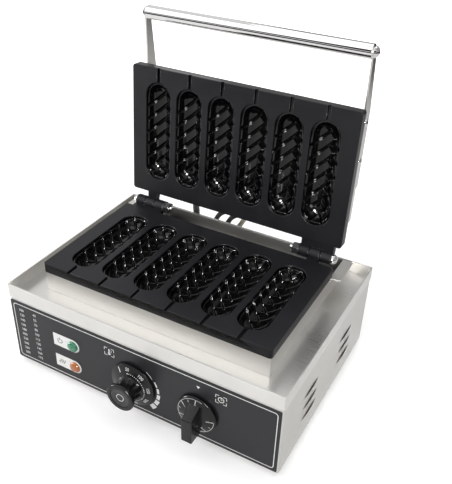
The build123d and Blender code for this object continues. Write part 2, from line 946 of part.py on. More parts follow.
def lid_cover():
    """Folded stainless box over the back of the upper plate."""
    outer = block((-cover_half_width, cover_near, slab_back_w), (cover_half_width, cover_far, cover_back))
    outer = fillet(outer.edges().filter_by(Axis.Z), cover_corner)
    outer = chamfer(outer.faces().sort_by(Axis.Z)[-1].edges(), sheet)
    inner = block(
        (-cover_half_width + sheet, cover_near + sheet, slab_back_w - overrun),
        (cover_half_width - sheet, cover_far - sheet, cover_back - sheet),
    )
    cover = outer - inner
    low = cover_back - sheet - overrun
    for u, v in cover_screw_places():
        cover = cover - upright(cover_screw_radius + slip, low, cover_back + overrun, u, v)
    for lead in leads:
        hole_radius = lead.radius + grommet_neck
        cover = cover - along_y(
            hole_radius, cover_near - overrun, cover_near + sheet + overrun, -lead.lid_x, lead.lid_w
        )
    reach = cover_half_width + overrun
    for v in arm_screw_places():
        cover = cover - along_x(arm_screw_radius + slip, -reach, reach, v, arm_screw_height)
    return cover


def cover_screws():
    """Domed screws through the cover's back into the lid studs."""
    head = Pos(0, 0, cover_back) * dome_head(cover_screw_head_radius, cover_screw_head_height)
    shank = upright(cover_screw_radius, cover_back - sheet, cover_back)
    return group([Pos(u, v, 0) * (head + shank) for u, v in cover_screw_places()])


# Handle
def arm_screw_places():
    """The v places of the screws through each arm."""
    return [arm_screw_near, arm_screw_near + arm_screw_spacing]


def handle_arm(side):
    """Flat arm along the cover's side, narrowed towards the tube. Side is 1 at +u."""
    outline = Polyline(
        (arm_near, arm_front),
        (arm_full_far, arm_front),
        (handle_reach, handle_height - arm_end_radius),
        (handle_reach, handle_height + arm_end_radius),
        (arm_full_far, arm_back),
        (arm_near, arm_back),
        close=True,
    )
    arm_face = make_face(outline.edges())
    round_end = Pos(handle_reach, handle_height) * Circle(arm_end_radius)
    start = cover_half_width if side > 0 else -cover_half_width - arm_thickness
    low = start - overrun
    high = start + arm_thickness + overrun
    arm = Pos(start, 0, 0) * extrude(Plane.YZ * (arm_face + round_end), arm_thickness)
    for v in arm_screw_places():
        arm = arm - along_x(arm_screw_radius + slip, low, high, v, arm_screw_height)
    return arm - along_x(handle_bolt_radius + slip, low, high, handle_reach, handle_height)


def handle_tube():
    """Round tube between the arms."""
    tube = along_x(handle_radius, -cover_half_width, cover_half_width, handle_reach, handle_height)
    return tube - along_x(
        handle_radius - handle_wall, -half_width, half_width, handle_reach, handle_height
    )


def handle_plugs():
    """Threaded plugs in the tube's ends."""
    inner = handle_radius - handle_wall
    plugs = []
    for side in (-1, 1):
        ends = sorted((side * cover_half_width, side * (cover_half_width - handle_plug_length)))
        plug = along_x(inner, ends[0], ends[1], handle_reach, handle_height)
        plug = plug - along_x(handle_bolt_radius, -half_width, half_width, handle_reach, handle_height)
        plugs.append(plug)
    return group(plugs)


def handle_bolts():
    """Domed bolts through the arms into the tube's plugs."""
    outer = cover_half_width + arm_thickness
    shank = along_x(handle_bolt_radius, cover_half_width - handle_plug_length / 2, outer)
    head = dome_head(handle_bolt_head_radius, handle_bolt_head_height)
    bolt = shank + Pos(outer, 0, 0) * Rot(0, 90, 0) * head
    return group([
        Pos(0, handle_reach, handle_height) * placed for placed in (bolt, Rot(0, 0, 180) * bolt)
    ])


def arm_screws():
    """Domed screws through the arms and the cover's sides, with their nuts inside."""
    outer = cover_half_width + arm_thickness
    shank = along_x(arm_screw_radius, outer - arm_screw_length, outer)
    head = Pos(outer, 0, 0) * Rot(0, 90, 0) * dome_head(arm_screw_head_radius, arm_screw_head_height)
    screw = shank + head
    screws = []
    for side in (-1, 1):
        for v in arm_screw_places():
            turned_screw = screw if side > 0 else Rot(0, 0, 180) * screw
            screws.append(Pos(0, v, arm_screw_height) * turned_screw)
    return group(screws)


def arm_nuts():
    """Nuts of the arm screws, inside the cover."""
    start = cover_half_width - sheet - arm_nut_height
    nut = Rot(0, 90, 0) * hexagon(arm_nut_width, start, start + arm_nut_height)
    nut = nut - along_x(arm_screw_radius, start - overrun, start + arm_nut_height + overrun)
    nuts = []
    for side in (-1, 1):
        for v in arm_screw_places():
            nuts.append(Pos(0, v, arm_screw_height) * (nut if side > 0 else Rot(0, 0, 180) * nut))
    return group(nuts)


# Front panel
def front_label():
    """Thin black label over the front wall."""
    width = 2 * (shell_half_width - label_side_margin)
    middle_z = housing_bottom + label_bottom_margin + label_height / 2
    face = Plane(origin=(0, front_face_y, middle_z), x_dir=(1, 0, 0), z_dir=(0, -1, 0))
    label = face.location * extrude(RectangleRounded(width, label_height, label_corner), label_thickness)
    for cutter in front_openings():
        label = label - cutter
    return label


def lamp_frame(height):
    """The plane of a lamp on the label's face, with z pointing to the front."""
    return Plane(origin=(lamp_x, label_face_y, housing_bottom + height), x_dir=(1, 0, 0), z_dir=(0, -1, 0))


def lamp_plate(height):
    """White plate beside and around a lamp, straight on the left and round on the right."""
    radius = lamp_plate_height / 2
    straight = lamp_plate_length - radius
    shape = Pos(-straight / 2, 0) * Rectangle(straight, lamp_plate_height) + Circle(radius)
    plate = extrude(shape, lamp_plate_thickness) - upright(lamp_body_radius + slip, -overrun, overrun)
    return lamp_frame(height).location * plate


def lamp_bodies():
    """The lamps' round housings behind the panel with a bezel in front."""
    low = lamp_plate_thickness
    bezel = upright(lamp_bezel_radius, low, low + lamp_bezel_height)
    barrel = upright(lamp_body_radius, -lamp_body_length, low)
    body = bezel + barrel
    return group([lamp_frame(height).location * body for height in lamp_heights])


def lamp_nuts():
    """Plastic nuts that hold the lamps behind the front wall."""
    back = -(label_thickness + sheet)
    nut = hexagon(lamp_nut_width, back - lamp_nut_height, back)
    nut = nut - upright(lamp_body_radius, back - lamp_nut_height - overrun, back + overrun)
    return group([lamp_frame(height).location * nut for height in lamp_heights])


def lamp_lens(height):
    """Domed lens on the bezel."""
    low = lamp_plate_thickness + lamp_bezel_height
    lens = Pos(0, 0, low) * dome_head(lamp_lens_radius, lamp_lens_height)
    return lamp_frame(height).location * lens


def dial_frame(x, height):
    """The plane of a dial on the label's face, with z pointing to the front."""
    return Plane(origin=(x, label_face_y, housing_bottom + height), x_dir=(1, 0, 0), z_dir=(0, -1, 0))


def temperature_knob():
    """Skirt with a cone for the numbers, a waisted grip and a front disc."""
    low = knob_gap
    skirt_top = low + temperature_skirt_height
    disc_low = low + temperature_grip_height - temperature_disc_height
    top = low + temperature_grip_height
    knob = turned([
        (0, low),
        (temperature_skirt_radius, low),
        (temperature_skirt_radius, low + temperature_skirt_edge),
        (temperature_front_radius, skirt_top),
        (temperature_grip_radius, skirt_top),
        (temperature_waist_radius, (skirt_top + disc_low) / 2),
        (temperature_front_radius, disc_low + temperature_disc_height / 2),
        (temperature_front_radius, top),
        (0, top),
    ])
    flute = upright(temperature_flute_radius, skirt_top, disc_low)
    reach = temperature_waist_radius + temperature_flute_radius - temperature_flute_depth
    for i in range(temperature_flute_count):
        knob = knob - Rot(0, 0, i * 360 / temperature_flute_count) * Pos(reach, 0, 0) * flute
    knob = knob - upright(cap_radius + slip, top - cap_depth, top + overrun)
    knob = knob - upright(spindle_radius + spindle_clearance, low - overrun, low + spindle_in_knob)
    return dial_frame(temperature_x, temperature_height).location * knob


def temperature_knob_cap():
    """Thin dished cap in the front of the temperature knob."""
    top = knob_gap + temperature_grip_height
    cap = upright(cap_radius, top - cap_depth, top)
    cap = cap - upright(cap_radius - cap_border, top - cap_dish, top + overrun)
    return dial_frame(temperature_x, temperature_height).location * cap


def spindle(x, height):
    """Round spindle from the control to the knob."""
    back = -(label_thickness + sheet + bracket_thickness + spindle_in_body)
    return dial_frame(x, height).location * upright(spindle_radius, back, knob_gap + spindle_in_knob)


def control_body(x, height, width, tall, length):
    """A control's case behind the front wall, with its mounting bracket and spindle hole."""
    back = -(label_thickness + sheet)
    case_front = back - bracket_thickness
    bracket_tall = tall - bracket_margin
    bracket = block(
        (-width / 2 - bracket_margin, -bracket_tall / 2, case_front),
        (width / 2 + bracket_margin, bracket_tall / 2, back),
    )
    case = block((-width / 2, -tall / 2, case_front - length), (width / 2, tall / 2, case_front))
    case = fillet(case.edges().filter_by(Axis.Z), bracket_thickness)
    hole = upright(spindle_radius + spindle_clearance, case_front - spindle_in_body - seat_gap, overrun)
    return dial_frame(x, height).location * (bracket + case - hole)


def timer_knob():
    """Domed skirt with a tall bar grip, sloped at the top end."""
    low = knob_gap
    edge_top = low + timer_skirt_edge
    dome = dome_head(timer_skirt_radius, timer_skirt_height - timer_skirt_edge)
    skirt = upright(timer_skirt_radius, low, edge_top) + Pos(0, 0, edge_top) * dome
    top = low + timer_grip_height
    outline = Polyline(
        (timer_grip_top_length, edge_top),
        (timer_grip_top_length - timer_grip_slope_length, top),
        (-timer_grip_bottom_length, top),
        (-timer_grip_bottom_length, edge_top),
        close=True,
    )
    bar = extrude(Plane.YZ * make_face(outline.edges()), timer_grip_width / 2, both=True)
    bar = fillet(bar.edges().filter_by(Axis.X), timer_grip_rounding)
    knob = skirt + bar
    knob = knob - upright(spindle_radius + spindle_clearance, low - overrun, low + spindle_in_knob)
    return dial_frame(timer_x, timer_height).location * knob


# Inside the housing
def thermostat_bulb():
    """Sensing bulb between the lower casting and its clamp plate."""
    return on_lower(along_x(bulb_radius, -bulb_half_length, bulb_half_length, cavity_mid_v, element_w))


def capillary_tube():
    """Thin tube from the bulb down through the deck to the thermostat."""
    start_y = hinge_y - cavity_mid_v
    start_z = hinge_z - element_w
    case_rear = front_face_y + sheet + bracket_thickness + thermostat_length
    case_top = housing_bottom + temperature_height + thermostat_height / 2
    thermostat_y = case_rear - thermostat_length / 3
    points = [
        (bulb_half_length, start_y, start_z),
        (capillary_exit_u(), start_y, start_z),
        (capillary_exit_u(), start_y, case_top + capillary_rise),
        (temperature_x, thermostat_y, case_top + capillary_rise),
        (temperature_x, thermostat_y, case_top),
    ]
    path = FilletPolyline(*points, radius=capillary_bend)
    start = Plane(origin=points[0], z_dir=(1, 0, 0))
    return sweep(start * Circle(capillary_radius), path)


def terminal_block():
    """Ceramic block with a row of screw wells on the base plate."""
    low = housing_bottom + sheet
    body = block(
        (-terminal_block_length / 2, -terminal_block_width / 2, low),
        (terminal_block_length / 2, terminal_block_width / 2, low + terminal_block_height),
    )
    top = low + terminal_block_height
    for x in terminal_places():
        body = body - upright(terminal_well_radius, top - terminal_well_depth, top + overrun, x)
    return Pos(terminal_block_x, terminal_block_y, 0) * body


def terminal_places():
    """The x places of the terminals, from the block's middle."""
    pitch = terminal_block_length / terminal_count
    return [(i - (terminal_count - 1) / 2) * pitch for i in range(terminal_count)]


def terminal_screws():
    """Screws in the terminal block's wells."""
    low = housing_bottom + sheet + terminal_block_height - terminal_well_depth
    screw = upright(terminal_screw_radius, low, low + terminal_screw_height)
    return group([Pos(terminal_block_x + x, terminal_block_y, 0) * screw for x in terminal_places()])


# Cord inlet and leads
def power_inlet():
    """Cord gland in the rear panel, bored for the mains cord."""
    face = shell_half_depth
    body = along_y(inlet_flange_radius, face, face + inlet_flange_height)
    body = body + along_y(inlet_nose_radius, face, face + inlet_flange_height + inlet_nose_length)
    body = body + along_y(inlet_body_radius, face - sheet - inlet_inner_length, face)
    nose_end = face + inlet_flange_height + inlet_nose_length
    bore = along_y(inlet_bore_radius, face - sheet - inlet_inner_length - overrun, nose_end + overrun)
    return Pos(inlet_x, 0, housing_bottom + inlet_height) * (body - bore)


@dataclass(frozen=True)
class Lead:
    """One lead between the lid and the base, with its route's places and its reach behind the rim."""

    name: str
    radius: float
    lid_x: float
    lid_w: float
    rim_x: float
    rim_reach: float
    bulge_reach: float
    base_x: float


# The places are chosen by hand along the leads' real route behind the rim
leads = [
    Lead("lid_lead_left", lead_radius_thick, -62.0, 30.0, -78.0, 8.0, 37.0, -100.0),
    Lead("lid_lead_middle", lead_radius_thin, -3.0, 26.0, -38.0, 6.0, 30.0, -80.0),
    Lead("lid_lead_right", lead_radius_thin, 14.0, 26.0, -20.0, 6.0, 30.0, -62.0),
    Lead("earth_lead", lead_radius_thin, -12.0, 38.0, -4.0, 15.0, 37.0, -44.0),
]
drop_shares = [0.0, 0.36, 0.62, 0.85, 0.98]
bulge_shares = [0.0, 0.62, 1.0, 0.87, 0.45]
sideways_shares = [0.0, 0.4, 0.72, 0.92, 1.0]


def lead_route(lead):
    """The corner points of a lead, from inside the lid cover to inside the base."""
    points = [
        lid_point(lead.lid_x, cover_near + sheet + lead_start_depth, lead.lid_w),
        lid_point(lead.lid_x, cover_near - lead_exit_run, lead.lid_w),
    ]
    top_z = rim_top + lead_rim_rise
    entry_z = housing_bottom + lead_entry_height
    for drop, bulge, sideways in zip(drop_shares, bulge_shares, sideways_shares):
        points.append((
            lead.rim_x + sideways * (lead.base_x - lead.rim_x),
            half_depth + lead.rim_reach + bulge * (lead.bulge_reach - lead.rim_reach),
            top_z + drop * (entry_z - top_z),
        ))
    points.append((lead.base_x, shell_half_depth + lead_entry_run, entry_z))
    points.append((lead.base_x, shell_half_depth - sheet - lead_inside_run, entry_z))
    return points


def bend_radii(points):
    """The largest even radii that a route's runs allow at its corners."""
    radii = []
    for before, corner, after in zip(points, points[1:], points[2:]):
        run_in = Vector(*corner) - Vector(*before)
        run_out = Vector(*after) - Vector(*corner)
        half_turn = radians(run_in.get_angle(run_out)) / 2
        radii.append(bend_share * min(run_in.length, run_out.length) / tan(half_turn))
    return radii


def lid_lead(lead):
    """One lead as a round tube along straight runs and tangent arcs."""
    points = lead_route(lead)
    radii = bend_radii(points)
    path = FilletPolyline(*points, radius=radii)
    start = Plane(origin=points[0], z_dir=Vector(*points[1]) - Vector(*points[0]))
    tube = sweep(start * Circle(lead.radius), path)
    print(lead.name, "length", round(path.length), "radii", [round(r) for r in radii])
    print(lead.name, "volume share", round(tube.volume / (pi * lead.radius**2 * path.length), 4))
    return tube


def rear_grommets():
    """Rubber grommets for the leads in the rear panel."""
    face = shell_half_depth
    rings = []
    flange_end = face + grommet_flange_height
    for lead in leads:
        neck = lead.radius + grommet_neck
        ring = along_y(neck + grommet_flange, face, flange_end)
        ring = ring + along_y(neck, face - sheet, face)
        ring = ring - along_y(lead.radius + slip, face - sheet - overrun, flange_end + overrun)
        rings.append(Pos(lead.base_x, 0, housing_bottom + lead_entry_height) * ring)
    return group(rings)


def lid_grommets():
    """Rubber grommets for the leads in the cover's lower end."""
    rings = []
    for lead in leads:
        neck = lead.radius + grommet_neck
        ring = along_y(neck + grommet_flange, cover_near - grommet_flange_height, cover_near)
        ring = ring + along_y(neck, cover_near, cover_near + sheet)
        ring = ring - along_y(
            lead.radius + slip, cover_near - grommet_flange_height - overrun, cover_near + sheet + overrun
        )
        rings.append(Pos(-lead.lid_x, 0, lead.lid_w) * ring)
    return group(rings)


deck_w = hinge_z - tray_floor
insulation_w = clamp_back_w + seat_gap
casting = cast_plate()

nodes = {
    "housing_shell": housing_shell(),
    "rear_panel": rear_panel(),
    "rear_panel_screws": rear_panel_screws(),
    "base_plate": base_plate(),
    "base_plate_screws": base_plate_screws(),
    "feet": feet(),
    "foot_screws": foot_screws(),
    "foot_nuts": foot_nuts(),
    "drip_tray": drip_tray(),
    "riser_frame": riser_frame(),
    "lower_plate": on_lower(casting),
    "lower_element": on_lower(heating_element(lower_element_end)),
    "lower_element_terminals": on_lower(element_terminals(lower_element_end)),
    "lower_clamp_plate": on_lower(clamp_plate()),
    "lower_studs": on_lower(studs(deck_w + sheet + stud_collar_height)),
    "lower_insulation": on_lower(insulation(insulation_w, deck_w - seat_gap)),
    "deck_nuts": deck_nuts(),
    "hinge_bolts": hinge_bolts(),
    "hinge_washers": hinge_washers(),
    "hinge_nuts": hinge_nuts(),
    "front_label": front_label(),
    "upper_lamp_plate": lamp_plate(upper_lamp_height),
    "lower_lamp_plate": lamp_plate(lower_lamp_height),
    "lamp_bodies": lamp_bodies(),
    "lamp_nuts": lamp_nuts(),
    "power_lamp_lens": lamp_lens(upper_lamp_height),
    "heat_lamp_lens": lamp_lens(lower_lamp_height),
    "thermostat": control_body(
        temperature_x, temperature_height, thermostat_width, thermostat_height, thermostat_length
    ),
    "thermostat_bulb": thermostat_bulb(),
    "capillary_tube": capillary_tube(),
    "timer": control_body(timer_x, timer_height, timer_case_width, timer_case_height, timer_case_length),
    "terminal_block": terminal_block(),
    "terminal_screws": terminal_screws(),
    "power_inlet": power_inlet(),
    "rear_grommets": rear_grommets(),
    "temperature_knob": temperature_knob(),
    "temperature_knob_cap": temperature_knob_cap(),
    "temperature_spindle": spindle(temperature_x, temperature_height),
    "timer_knob": timer_knob(),
    "timer_spindle": spindle(timer_x, timer_height),
    "upper_plate": on_lid(casting),
    "upper_element": on_lid(heating_element(upper_element_end)),
    "upper_element_terminals": on_lid(element_terminals(upper_element_end)),
    "upper_clamp_plate": on_lid(clamp_plate()),
    "upper_studs": on_lid(studs(cover_back - sheet)),
    "upper_insulation": on_lid(insulation(insulation_w, cover_back - sheet - seat_gap)),
    "lid_cover": on_lid(lid_cover()),
    "cover_screws": on_lid(cover_screws()),
    "lid_grommets": on_lid(lid_grommets()),
    "handle_arm_left": on_lid(handle_arm(1)),
    "handle_arm_right": on_lid(handle_arm(-1)),
    "handle_tube": on_lid(handle_tube()),
    "handle_plugs": on_lid(handle_plugs()),
    "handle_bolts": on_lid(handle_bolts()),
    "arm_screws": on_lid(arm_screws()),
    "arm_nuts": on_lid(arm_nuts()),
}
for lead in leads:
    nodes[lead.name] = lid_lead(lead)

os.makedirs("parts", exist_ok=True)
for name, shape in nodes.items():
    export_step(shape, f"parts/{name}.step")
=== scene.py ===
"""Waffle stick maker with six plaited cavities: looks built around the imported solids.

Metres, in the solids' own frame: X to the right seen from the front, Y to the back, Z up.
"""

import logging
import math
from dataclasses import dataclass, field
from enum import Enum
from functools import cache
from typing import Any, Iterable, Sequence

import bmesh
import bpy
from bmesh.types import BMEdge, BMFace, BMVert
from bpy.types import Curve, ID, Material, Mesh, Node, NodeLinks, NodeOutputs, NodeTree, Object
from bpy.types import NodeSocket as Socket
from mathutils import Matrix, Vector

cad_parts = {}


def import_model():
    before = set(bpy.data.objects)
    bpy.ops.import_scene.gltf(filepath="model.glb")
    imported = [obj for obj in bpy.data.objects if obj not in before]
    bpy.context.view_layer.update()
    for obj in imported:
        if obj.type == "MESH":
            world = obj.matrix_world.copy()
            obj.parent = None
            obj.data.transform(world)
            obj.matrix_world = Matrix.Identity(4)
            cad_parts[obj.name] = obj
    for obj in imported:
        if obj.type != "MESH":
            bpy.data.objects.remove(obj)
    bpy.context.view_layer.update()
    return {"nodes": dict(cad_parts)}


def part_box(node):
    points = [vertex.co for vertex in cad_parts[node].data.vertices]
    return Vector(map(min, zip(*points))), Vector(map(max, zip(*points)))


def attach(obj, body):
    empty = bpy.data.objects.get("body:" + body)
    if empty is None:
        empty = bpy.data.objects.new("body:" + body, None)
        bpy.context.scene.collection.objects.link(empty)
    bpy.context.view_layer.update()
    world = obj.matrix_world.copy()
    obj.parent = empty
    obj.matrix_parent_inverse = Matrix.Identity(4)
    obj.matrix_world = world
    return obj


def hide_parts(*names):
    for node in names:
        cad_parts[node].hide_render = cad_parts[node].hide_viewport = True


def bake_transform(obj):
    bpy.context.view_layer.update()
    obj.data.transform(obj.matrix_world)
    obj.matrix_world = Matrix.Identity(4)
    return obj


LOG = logging.getLogger("waffle_stick_maker")
HOLLOW = "hollow"
Pair = tuple[float, float]
Point = tuple[float, float, float]
Colour = tuple[float, float, float]
HINGE: Point = (0.0, 0.0835, 0.1375)
OPEN_ANGLE = math.radians(93.5)
LID_BACK: Point = (0.0, math.sin(OPEN_ANGLE), math.cos(OPEN_ANGLE))
# The usual lowest and highest value of the noise
NOISE_LOW, NOISE_HIGH = 0.3, 0.7
# Where the lamps point
AIM: Point = (0.0, 0.0, 0.15)
# Any sweep beyond this is a whole circle
WHOLE_TURN = math.tau - 1e-6
# The least scale of an inset corner, which keeps sharp corners from running away
MITRE_LIMIT = 0.3
# The part of an eased edge at which its middle ring lies
EASED_SHARE = 0.3
# Corners sharper than this, in degrees, stay crisp
CREASE = 50.0
# Distances at which points are one: in made shapes, and in the solids' triangles
MADE_MERGE = 1e-7
SOLID_MERGE = 1e-6
# Thickness of print and lettering
INK = 0.00008


class Slot(Enum):
    """The material slots."""

    STAINLESS = "brushed_stainless"
    TRAY = "tray_stainless"
    POLISHED = "polished_steel"
    ZINC = "zinc_steel"
    BLACK_STEEL = "black_steel"
    CASTING = "coated_cast_aluminium"
    SHEATH = "element_sheath"
    CERAMIC = "white_ceramic"
    WOOL = "mineral_wool"
    RUBBER = "black_rubber"
    LABEL = "label_film"
    WHITE = "white_label"
    BAKELITE = "black_bakelite"
    CAP = "knob_cap"
    GREEN = "green_lens"
    ORANGE = "orange_lens"
    BRASS = "brass"
    COPPER = "copper_tube"
    SLEEVE = "lead_sleeve"
    BRAID = "lead_braid"


class Body(Enum):
    """The bodies that pieces ride on."""

    BASE = "base"
    LID = "lid"
    TEMPERATURE = "temperature_dial"
    TIMER = "timer_dial"


# Scene and node building


def link_object(name: str, data: ID | None) -> Object:
    """Make an object of the data and link it to the scene.

    Args:
        name: The object's name.
        data: Its mesh, curve, lamp or camera.

    Returns:
        The object.
    """
    item = bpy.data.objects.new(name, data)
    bpy.context.scene.collection.objects.link(item)
    return item


def evaluated_mesh(item: Object) -> Mesh:
    """The plain mesh of an object as its modifiers leave it."""
    return bpy.data.meshes.new_from_object(item.evaluated_get(bpy.context.evaluated_depsgraph_get()))


def curve_mesh(data: Curve) -> Mesh:
    """Turn a curve or a text into a plain mesh and remove it.

    Args:
        data: The curve or text.

    Returns:
        The mesh.
    """
    holder = link_object(data.name, data)
    bpy.context.view_layer.update()
    mesh = evaluated_mesh(holder)
    bpy.data.objects.remove(holder)
    bpy.data.curves.remove(data)
    return mesh


def connect(links: NodeLinks, value: Any, socket: Socket) -> None:
    """Link an output to an input, or set the input to a plain value.

    Args:
        links: The links of the tree.
        value: A number, vector, colour, material, output or field; a node stands for its first output.
        socket: The input.
    """
    if isinstance(value, Field):
        value = value.socket
    elif isinstance(value, Node):
        value = value.outputs[0]
    if isinstance(value, Socket):
        links.new(value, socket)
    elif isinstance(value, tuple) and len(value) == 3 and socket.type == "RGBA":
        socket.default_value = (*value, 1.0)
    else:
        socket.default_value = value


class Nodes:
    """A node tree that is put together step by step."""

    def __init__(self, group: NodeTree) -> None:
        """Take an empty or a new tree."""
        self.group = group

    def feed(self, node: Node, **inputs: Any) -> Node:
        """Set or link a node's inputs by name, with spaces written as underscores.

        Args:
            node: The node.
            inputs: Numbers, colours, outputs, fields or nodes, or a list of them for an input of many.

        Returns:
            The same node.
        """
        for key, given in inputs.items():
            for value in given if isinstance(given, list) else [given]:
                connect(self.group.links, value, node.inputs[key.replace("_", " ")])
        return node

    def node(self, kind: str, settings: dict[str, Any] | None = None, **inputs: Any) -> Node:
        """Add a node and feed its inputs.

        Args:
            kind: The node's type name.
            settings: Attributes to set on it first.
            inputs: Its inputs, as feed takes them.

        Returns:
            The node.
        """
        made = self.group.nodes.new(kind)
        for key, value in (settings or {}).items():
            setattr(made, key, value)
        return self.feed(made, **inputs)

    def apply(self, kind: str, operation: str, *values: Any) -> Node:
        """Add a Math or Vector Math node and feed its inputs in order.

        Args:
            kind: The node's type name.
            operation: Its operation.
            values: Its operands.

        Returns:
            The node.
        """
        made = self.node(kind, {"operation": operation})
        for value, socket in zip(values, made.inputs):
            connect(self.group.links, value, socket)
        return made


class Recipe(Nodes):
    """One node material, or the surround."""

    def __init__(self, name: str, surround: bool = False) -> None:
        """Start with a Principled shader, or with the surround's Background.

        Args:
            name: The material's name.
            surround: Whether it is the world and no material.
        """
        self.material = (bpy.data.worlds if surround else bpy.data.materials).new(name)
        self.material.use_nodes = True
        super().__init__(self.material.node_tree)
        self.shader = self.group.nodes["Background" if surround else "Principled BSDF"]
        self.place = self.node("ShaderNodeTexCoord").outputs["Generated" if surround else "Object"]

    def math(self, operation: str, *values: Socket | float) -> Socket:
        """Apply one Math node to sockets or numbers."""
        return self.apply("ShaderNodeMath", operation, *values).outputs[0]

    def ramp(self, value: Socket, stops: Sequence[Pair]) -> Socket:
        """Greys along a value.

        Args:
            value: Where on the ramp, from 0 to 1.
            stops: (position, grey) in order.

        Returns:
            The grey.
        """
        node = self.node("ShaderNodeValToRGB", Fac=value)
        elements = node.color_ramp.elements
        while len(elements) < len(stops):
            elements.new(0.5)
        for element, (position, grey) in zip(elements, stops):
            element.position = position
            element.color = (grey, grey, grey, 1.0)
        return node.outputs["Color"]

    def stretched(self, scale: Point) -> Socket:
        """Object coordinates multiplied by a scale on each axis."""
        return self.node("ShaderNodeMapping", Vector=self.place, Scale=scale).outputs["Vector"]

    def axes(self) -> NodeOutputs:
        """The three axes of the coordinates."""
        return self.node("ShaderNodeSeparateXYZ", Vector=self.place).outputs

    def noise(self, vector: Socket, scale: float, detail: float) -> Socket:
        """Fractal noise about 0.5, from a place, the cycles for each unit and the number of octaves."""
        return self.node("ShaderNodeTexNoise", Vector=vector, Scale=scale, Detail=detail).outputs["Fac"]

    def between(self, value: Socket, source: Pair, target: Pair) -> Socket:
        """Map a value from one range to another and hold it there.

        Args:
            value: The value.
            source: The range that it comes from.
            target: The range that it is brought to.

        Returns:
            The mapped output.
        """
        node = self.node("ShaderNodeMapRange", Value=value, From_Min=source[0], From_Max=source[1])
        return self.feed(node, To_Min=target[0], To_Max=target[1]).outputs["Result"]

    def spread(self, value: Socket, low: float, high: float) -> Socket:
        """Map noise from its usual range to low and high."""
        return self.between(value, (NOISE_LOW, NOISE_HIGH), (low, high))

    def tint(self, factor: Socket, first: Colour | Socket, second: Colour | Socket) -> Socket:
        """Mix two colours.

        Args:
            factor: From 0, the first colour, to 1, the second.
            first: Linear colour or output.
            second: Linear colour or output.

        Returns:
            The colour output.
        """
        node = self.node("ShaderNodeMix", {"data_type": "RGBA"}, Factor=factor)
        colours = [socket for socket in node.inputs if socket.type == "RGBA"]
        for socket, colour in zip(colours, (first, second)):
            connect(self.group.links, colour, socket)
        return next(socket for socket in node.outputs if socket.type == "RGBA")

    def relief(self, height: Socket, strength: float, distance: float) -> None:
        """Bump the surface by a height output.

        Args:
            height: The height from 0 to 1.
            strength: Share of the bump.
            distance: Metres of height for 1.
        """
        bump = self.node("ShaderNodeBump", Height=height, Strength=strength, Distance=distance)
        self.feed(self.shader, Normal=bump)


def shade(colour: Colour, factor: float) -> Colour:
    """A colour made lighter or darker by a factor."""
    return tuple(min(1.0, c * factor) for c in colour)


@dataclass(frozen=True)
class Metal:
    """Sheet or turned metal with fine brushing along one axis and faint smudges."""

    name: str
    colour: Colour
    roughness: float
    grain: Point = (40.0, 3600.0, 3600.0)
    grain_depth: float = 0.0000015
    grain_share: float = 0.2
    smudge: float = 0.03
    smudge_scale: float = 14.0
    tints: Pair = (0.94, 1.04)
    grain_octaves: float = 4.0
    smudge_octaves: float = 3.0
    relief_share: float = 0.5

    def build(self) -> Material:
        """Make the node material.

        Returns:
            The material.
        """
        recipe = Recipe(self.name)
        grain = recipe.noise(recipe.stretched(self.grain), 1.0, self.grain_octaves)
        smudge = recipe.noise(recipe.place, self.smudge_scale, self.smudge_octaves)
        colour = recipe.tint(grain, *(shade(self.colour, factor) for factor in self.tints))
        low = self.roughness * (1 - self.grain_share)
        high = self.roughness * (1 + self.grain_share)
        smudged = recipe.spread(smudge, -self.smudge, self.smudge)
        rough = recipe.math("ADD", recipe.spread(grain, low, high), smudged)
        recipe.feed(recipe.shader, Base_Color=colour, Roughness=rough, Metallic=1.0)
        recipe.relief(grain, self.relief_share, self.grain_depth)
        return recipe.material


@dataclass(frozen=True)
class Grained:
    """Coated, moulded or fired surface with a fine grain and slow colour variation."""

    name: str
    colour: Colour
    roughness: float
    variation: float = 0.12
    grain_scale: float = 1400.0
    grain_depth: float = 0.00003
    patch_scale: float = 25.0
    specular: float = 0.5
    coat: float = 0.0
    coat_roughness: float = 0.1
    grain_octaves: float = 2.0
    patch_octaves: float = 4.0
    relief_share: float = 0.6

    def build(self) -> Material:
        """Make the node material.

        Returns:
            The material.
        """
        recipe = Recipe(self.name)
        grain = recipe.noise(recipe.place, self.grain_scale, self.grain_octaves)
        patch = recipe.noise(recipe.place, self.patch_scale, self.patch_octaves)
        darker, lighter = 1 - self.variation, 1 + self.variation
        colour = recipe.tint(
            recipe.spread(patch, 0.0, 1.0), shade(self.colour, darker), shade(self.colour, lighter)
        )
        low, high = self.roughness * darker, self.roughness * lighter
        recipe.feed(
            recipe.shader, Base_Color=colour, Roughness=recipe.spread(patch, low, high),
            Specular_IOR_Level=self.specular, Coat_Weight=self.coat, Coat_Roughness=self.coat_roughness,
        )
        recipe.relief(grain, self.relief_share, self.grain_depth)
        return recipe.material


